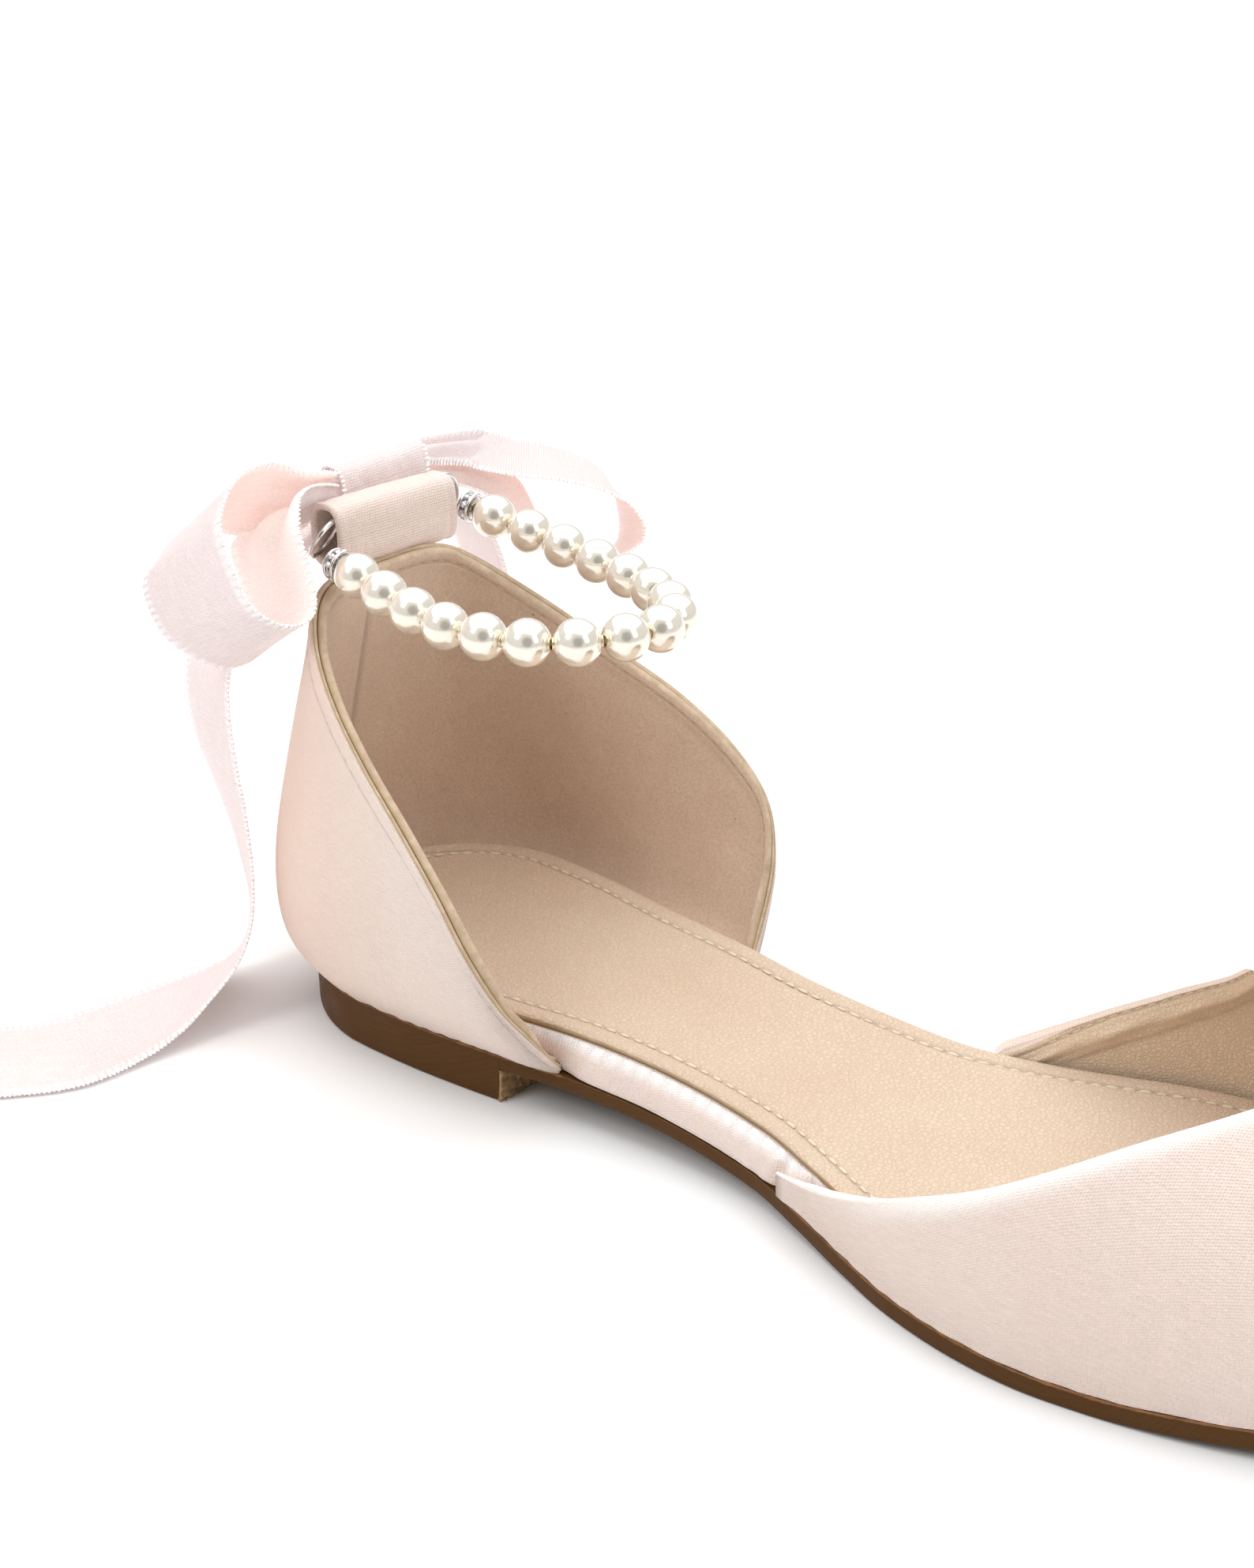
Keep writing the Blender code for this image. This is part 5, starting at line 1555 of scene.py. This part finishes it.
def make_heel(dyed, raw):
    """Low heel block with a softened foot, and the raw fibres of its breast."""
    front, _, tall = box_corners("heel_block")[1]
    wide = edge_pairs(-0.05, front, 60)
    heights = [tall, tall - 0.3, 4.4, 2.6, 1.3, 0.6, 0.30, 0.12, 0.0]
    insets = [0.0, 0.0, 0.02, 0.05, 0.08, 0.10, 0.16, 0.30, 0.55]
    loops = []
    for left, right in wide:
        cross = [y for _, y in between(left, right)]
        lift = (feather_z(left[0]) - 0.12) / tall
        roof = tall if loops else tall * lift
        loop = [(*left, tall * lift)] + [(left[0], y, roof) for y in cross[1:-1]]
        loop += [(right[0], right[1] - a * (right[1] > 0.8), z * lift)
                 for a, z in zip(insets, heights)]
        loop += [(left[0], y, 0.0) for y in cross[-2:0:-1]]
        loop += [(left[0], left[1] + a * (left[1] < -0.8), z * lift)
                 for a, z in zip(insets[::-1], heights[::-1])][:-1]
        loops.append(loop)
    obj = skin_tube("heel_stack", loops, dyed, sharp=35.0, caps="fan")
    on_root(obj, "heel_leather", "heel_block")
    left, right = wide[-1]
    grid = np.array([[(front, y, z) for z in np.linspace(0.15, tall - 0.02, 26)]
                     for y in np.linspace(left[1] + 0.05, right[1] - 0.05, 190)])
    fibres = 0.42 + 0.42 * ripple(grid, 1.3) + 0.45 * ripple(grid, 0.6, 5.0)
    face = pushed(grid, np.array([1.0, 0.0, 0.0]), fibres)
    loops = wall_loops(face, grid - np.array([0.4, 0, 0]), 2, 2)
    loops[..., 2] = np.maximum(loops[..., 2], 0.02)
    obj = skin_tube("heel_breast", loops, raw)
    on_root(obj, "heel_leather")


# ---- ankle strand ---------------------------------------------------------------------------
def solid_axis(node):
    """Centre, thin axis and points of a round solid, in millimetres."""
    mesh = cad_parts[node].data
    points = np.zeros(len(mesh.vertices) * 3)
    mesh.vertices.foreach_get("co", points)
    points = np.unique(points.reshape(-1, 3).round(7), axis=0) / MM
    centre = 0.5 * (points.min(axis=0) + points.max(axis=0))
    axes = np.linalg.svd(points - points.mean(axis=0))[2]
    return centre, axes[2], points


def make_strand(pearl, silver, gilt, crystal):
    """Pearls on their wire, the crystal spacers and the rings in the tab's mouths."""
    pearls = ["pearl_%02d" % k for k in range(1, PEARL_COUNT + 1)]
    centres = np.array([box_middle(node)[0] for node in pearls])
    ways = unit(np.gradient(centres, axis=0))
    beads = places("pearls", centres, ways)
    apply_tree(beads, bead_tree(), {
        "Diameter": PEARL_DIAMETER * MM, "Bore": 0.95 * MM, "Pearl": pearl, "Lip": gilt})
    on_root(beads, "pearl", *pearls)

    spots = [solid_axis(node) for node in ("rondelle_outer", "rondelle_inner")]
    discs = places("crystal_spacers", [s[0] for s in spots], [s[1] for s in spots])
    apply_tree(discs, crystal_tree(), {
        "Radius": 2.62 * MM, "Thickness": 2.5 * MM, "Crystals": 10, "Crystal Size": 0.62 * MM,
        "Metal": silver, "Stone": crystal})
    on_root(discs, "crystal_silver", "rondelle_outer", "rondelle_inner")

    first, last = (spot[0] for spot in spots)
    line = [first + 0.62 * (first - centres[0]), first, *centres, last,
            last + 0.42 * (last - centres[-1])]
    tube_along("strand_wire_plated", np.array(line), 0.33, gilt, "silver", "strand_wire")

    for end in ("outer", "inner"):
        node = "ring_" + end
        centre, axis, points = solid_axis(node)
        reach = np.linalg.norm(points - centre, axis=1).max()
        if end == "outer":
            axis = unit(np.array(RING_AXIS))
        side = unit(np.cross(axis, [0.0, 1.0, 0.3]))
        rise = np.cross(axis, side)
        line = ring_round(centre, side, rise, reach - RING_WIRE, 64)
        tube_along("silver_" + node, np.array(line), RING_WIRE, silver, "silver", node,
                   closed=True)


def tube_along(name, line, radius, finish, slot, node, closed=False):
    """A round wire along a line, in place of a solid."""
    if closed:
        ways = unit(np.roll(line, -1, axis=0) - np.roll(line, 1, axis=0))
    else:
        line = curve_through(line, 12 * len(line))
        ways = unit(np.gradient(line, axis=0))
    upwards = np.cross(ways[0], ways[len(ways) // 4]) if closed else [0.02, 0.05, 1.0]
    side = unit(np.cross(ways, upwards))
    loops = [ring_round(*spot, radius, 12) for spot in zip(line, side, np.cross(ways, side))]
    on_root(skin_tube(name, loops, finish, closed=closed, caps="fan"), slot, node)


# ---- the shoe -------------------------------------------------------------------------------
def dress_shoe():
    """Make every piece of the shoe, ribbons first."""
    stitches = stitch_tree()
    ribbon = {"weave": 0.55, "streak": (0.20, 2.4), "ribs": (0.85, 0.12, 0.5)}
    # The ribbon finishes glow: painted light for the light through thin cloth. The inside and
    # underside are deeper coral copies, painted light bounced and passed inside the loops; past 36
    # to 46 mm of cloth the inside is painted paler.
    face = satin_finish("pink_ribbon", (0.80, 0.70, 0.685), (0.80, 0.64, 0.62),
                        rough=(0.32, 0.46), relief=1.2, glow=(0.14, 0.12, 0.119), **ribbon)
    ribbon["rough"] = (0.40, 0.55)
    inside = satin_finish("pink_ribbon_inside", (0.90, 0.725, 0.68), (0.88, 0.67, 0.615),
                          glow=(0.235, 0.195, 0.18), heel=(0.86, 0.80, 0.785),
                          paler=(36.0, 46.0), **ribbon)
    under = satin_finish("pink_ribbon_underside", (0.86, 0.71, 0.67), (0.85, 0.66, 0.61),
                         glow=(0.21, 0.17, 0.16), **ribbon)
    # The picot thread glows: painted light that keeps its small loops pale.
    picot = thread_finish("picot_thread", (0.97, 0.91, 0.89), 0.30)
    make_bow(face, (inside, under), stitches, picot)

    satin = satin_finish("blush_satin", (0.86, 0.72, 0.645), (0.85, 0.68, 0.59), 0.5)
    vamp_satin = satin_finish("vamp_satin_cloth", (0.835, 0.695, 0.622), (0.822, 0.65, 0.566),
                              0.42)
    # A lighter copy of the satin that glows: painted light on the inside of the vamp's turned rim.
    rim_satin_painted_glow = satin_finish("blush_rim_satin", (0.90, 0.80, 0.745), (0.88, 0.75, 0.68), 0.5,
                             rough=(0.25, 0.40), glow=(0.40, 0.355, 0.33))
    # The board's satin lightens where the marks are: a painted highlight along the rand's rolled
    # top.
    sleek = satin_finish("blush_board_satin", (0.87, 0.72, 0.65), (0.85, 0.66, 0.585), 0.5,
                         rough=(0.18, 0.32), gloss=0.9, ribs=(0.6, 0.05, 0.9))
    # The quarter's satin deepens towards the back of the shoe: painted shade where it turns from
    # the light.
    heel_satin = satin_finish("blush_heel_satin", (0.88, 0.745, 0.665), (0.87, 0.69, 0.60), 0.5,
                              heel=(0.86, 0.61, 0.485))
    # A lighter copy of the satin for the tab: painted light that lifts the tab's shading.
    tab_satin = satin_finish("blush_tab_satin", (0.94, 0.78, 0.71), (0.92, 0.74, 0.66), 0.45,
                             (0.25, 3.0))
    suede = suede_finish()
    insole = leather_finish("beige_insole_leather", (0.76, 0.60, 0.455), (0.73, 0.55, 0.40))
    lining = leather_finish("beige_lining_leather", (0.93, 0.755, 0.565), (0.90, 0.70, 0.50),
                            1.3)
    cut = raw_finish("cut_leather", (0.76, 0.60, 0.45), (0.58, 0.44, 0.31))
    cream = thread_finish("cream_thread", (0.86, 0.73, 0.56))
    tan = thread_finish("tan_thread", (0.62, 0.48, 0.34))
    blush = thread_finish("blush_thread", (0.80, 0.65, 0.56))
    make_quarter(heel_satin, suede, cut, stitches, blush, tan)
    make_vamp(vamp_satin, rim_satin_painted_glow, lining, stitches, cream)
    make_tab(tab_satin, satin)
    make_sock(insole, cut, stitches, cream)
    make_board(sleek)
    dyed = sole_finish("brown_sole_leather", (0.088, 0.038, 0.010), (0.112, 0.053, 0.016))
    cement = raw_finish("cement_line", (0.30, 0.14, 0.06), (0.17, 0.08, 0.035), 0.2)
    raw = raw_finish("raw_breast", (0.50, 0.32, 0.16), (0.26, 0.155, 0.07), 0.5)
    make_outsole(dyed, cement)
    make_heel(dyed, raw)
    silver = metal_finish("bright_silver", (0.78, 0.77, 0.75), 0.14)
    gilt = metal_finish("champagne_gilt", (0.74, 0.62, 0.42), 0.28)
    make_strand(pearl_finish(), silver, gilt, crystal_finish())


set_camera()
set_studio()
dress_shoe()
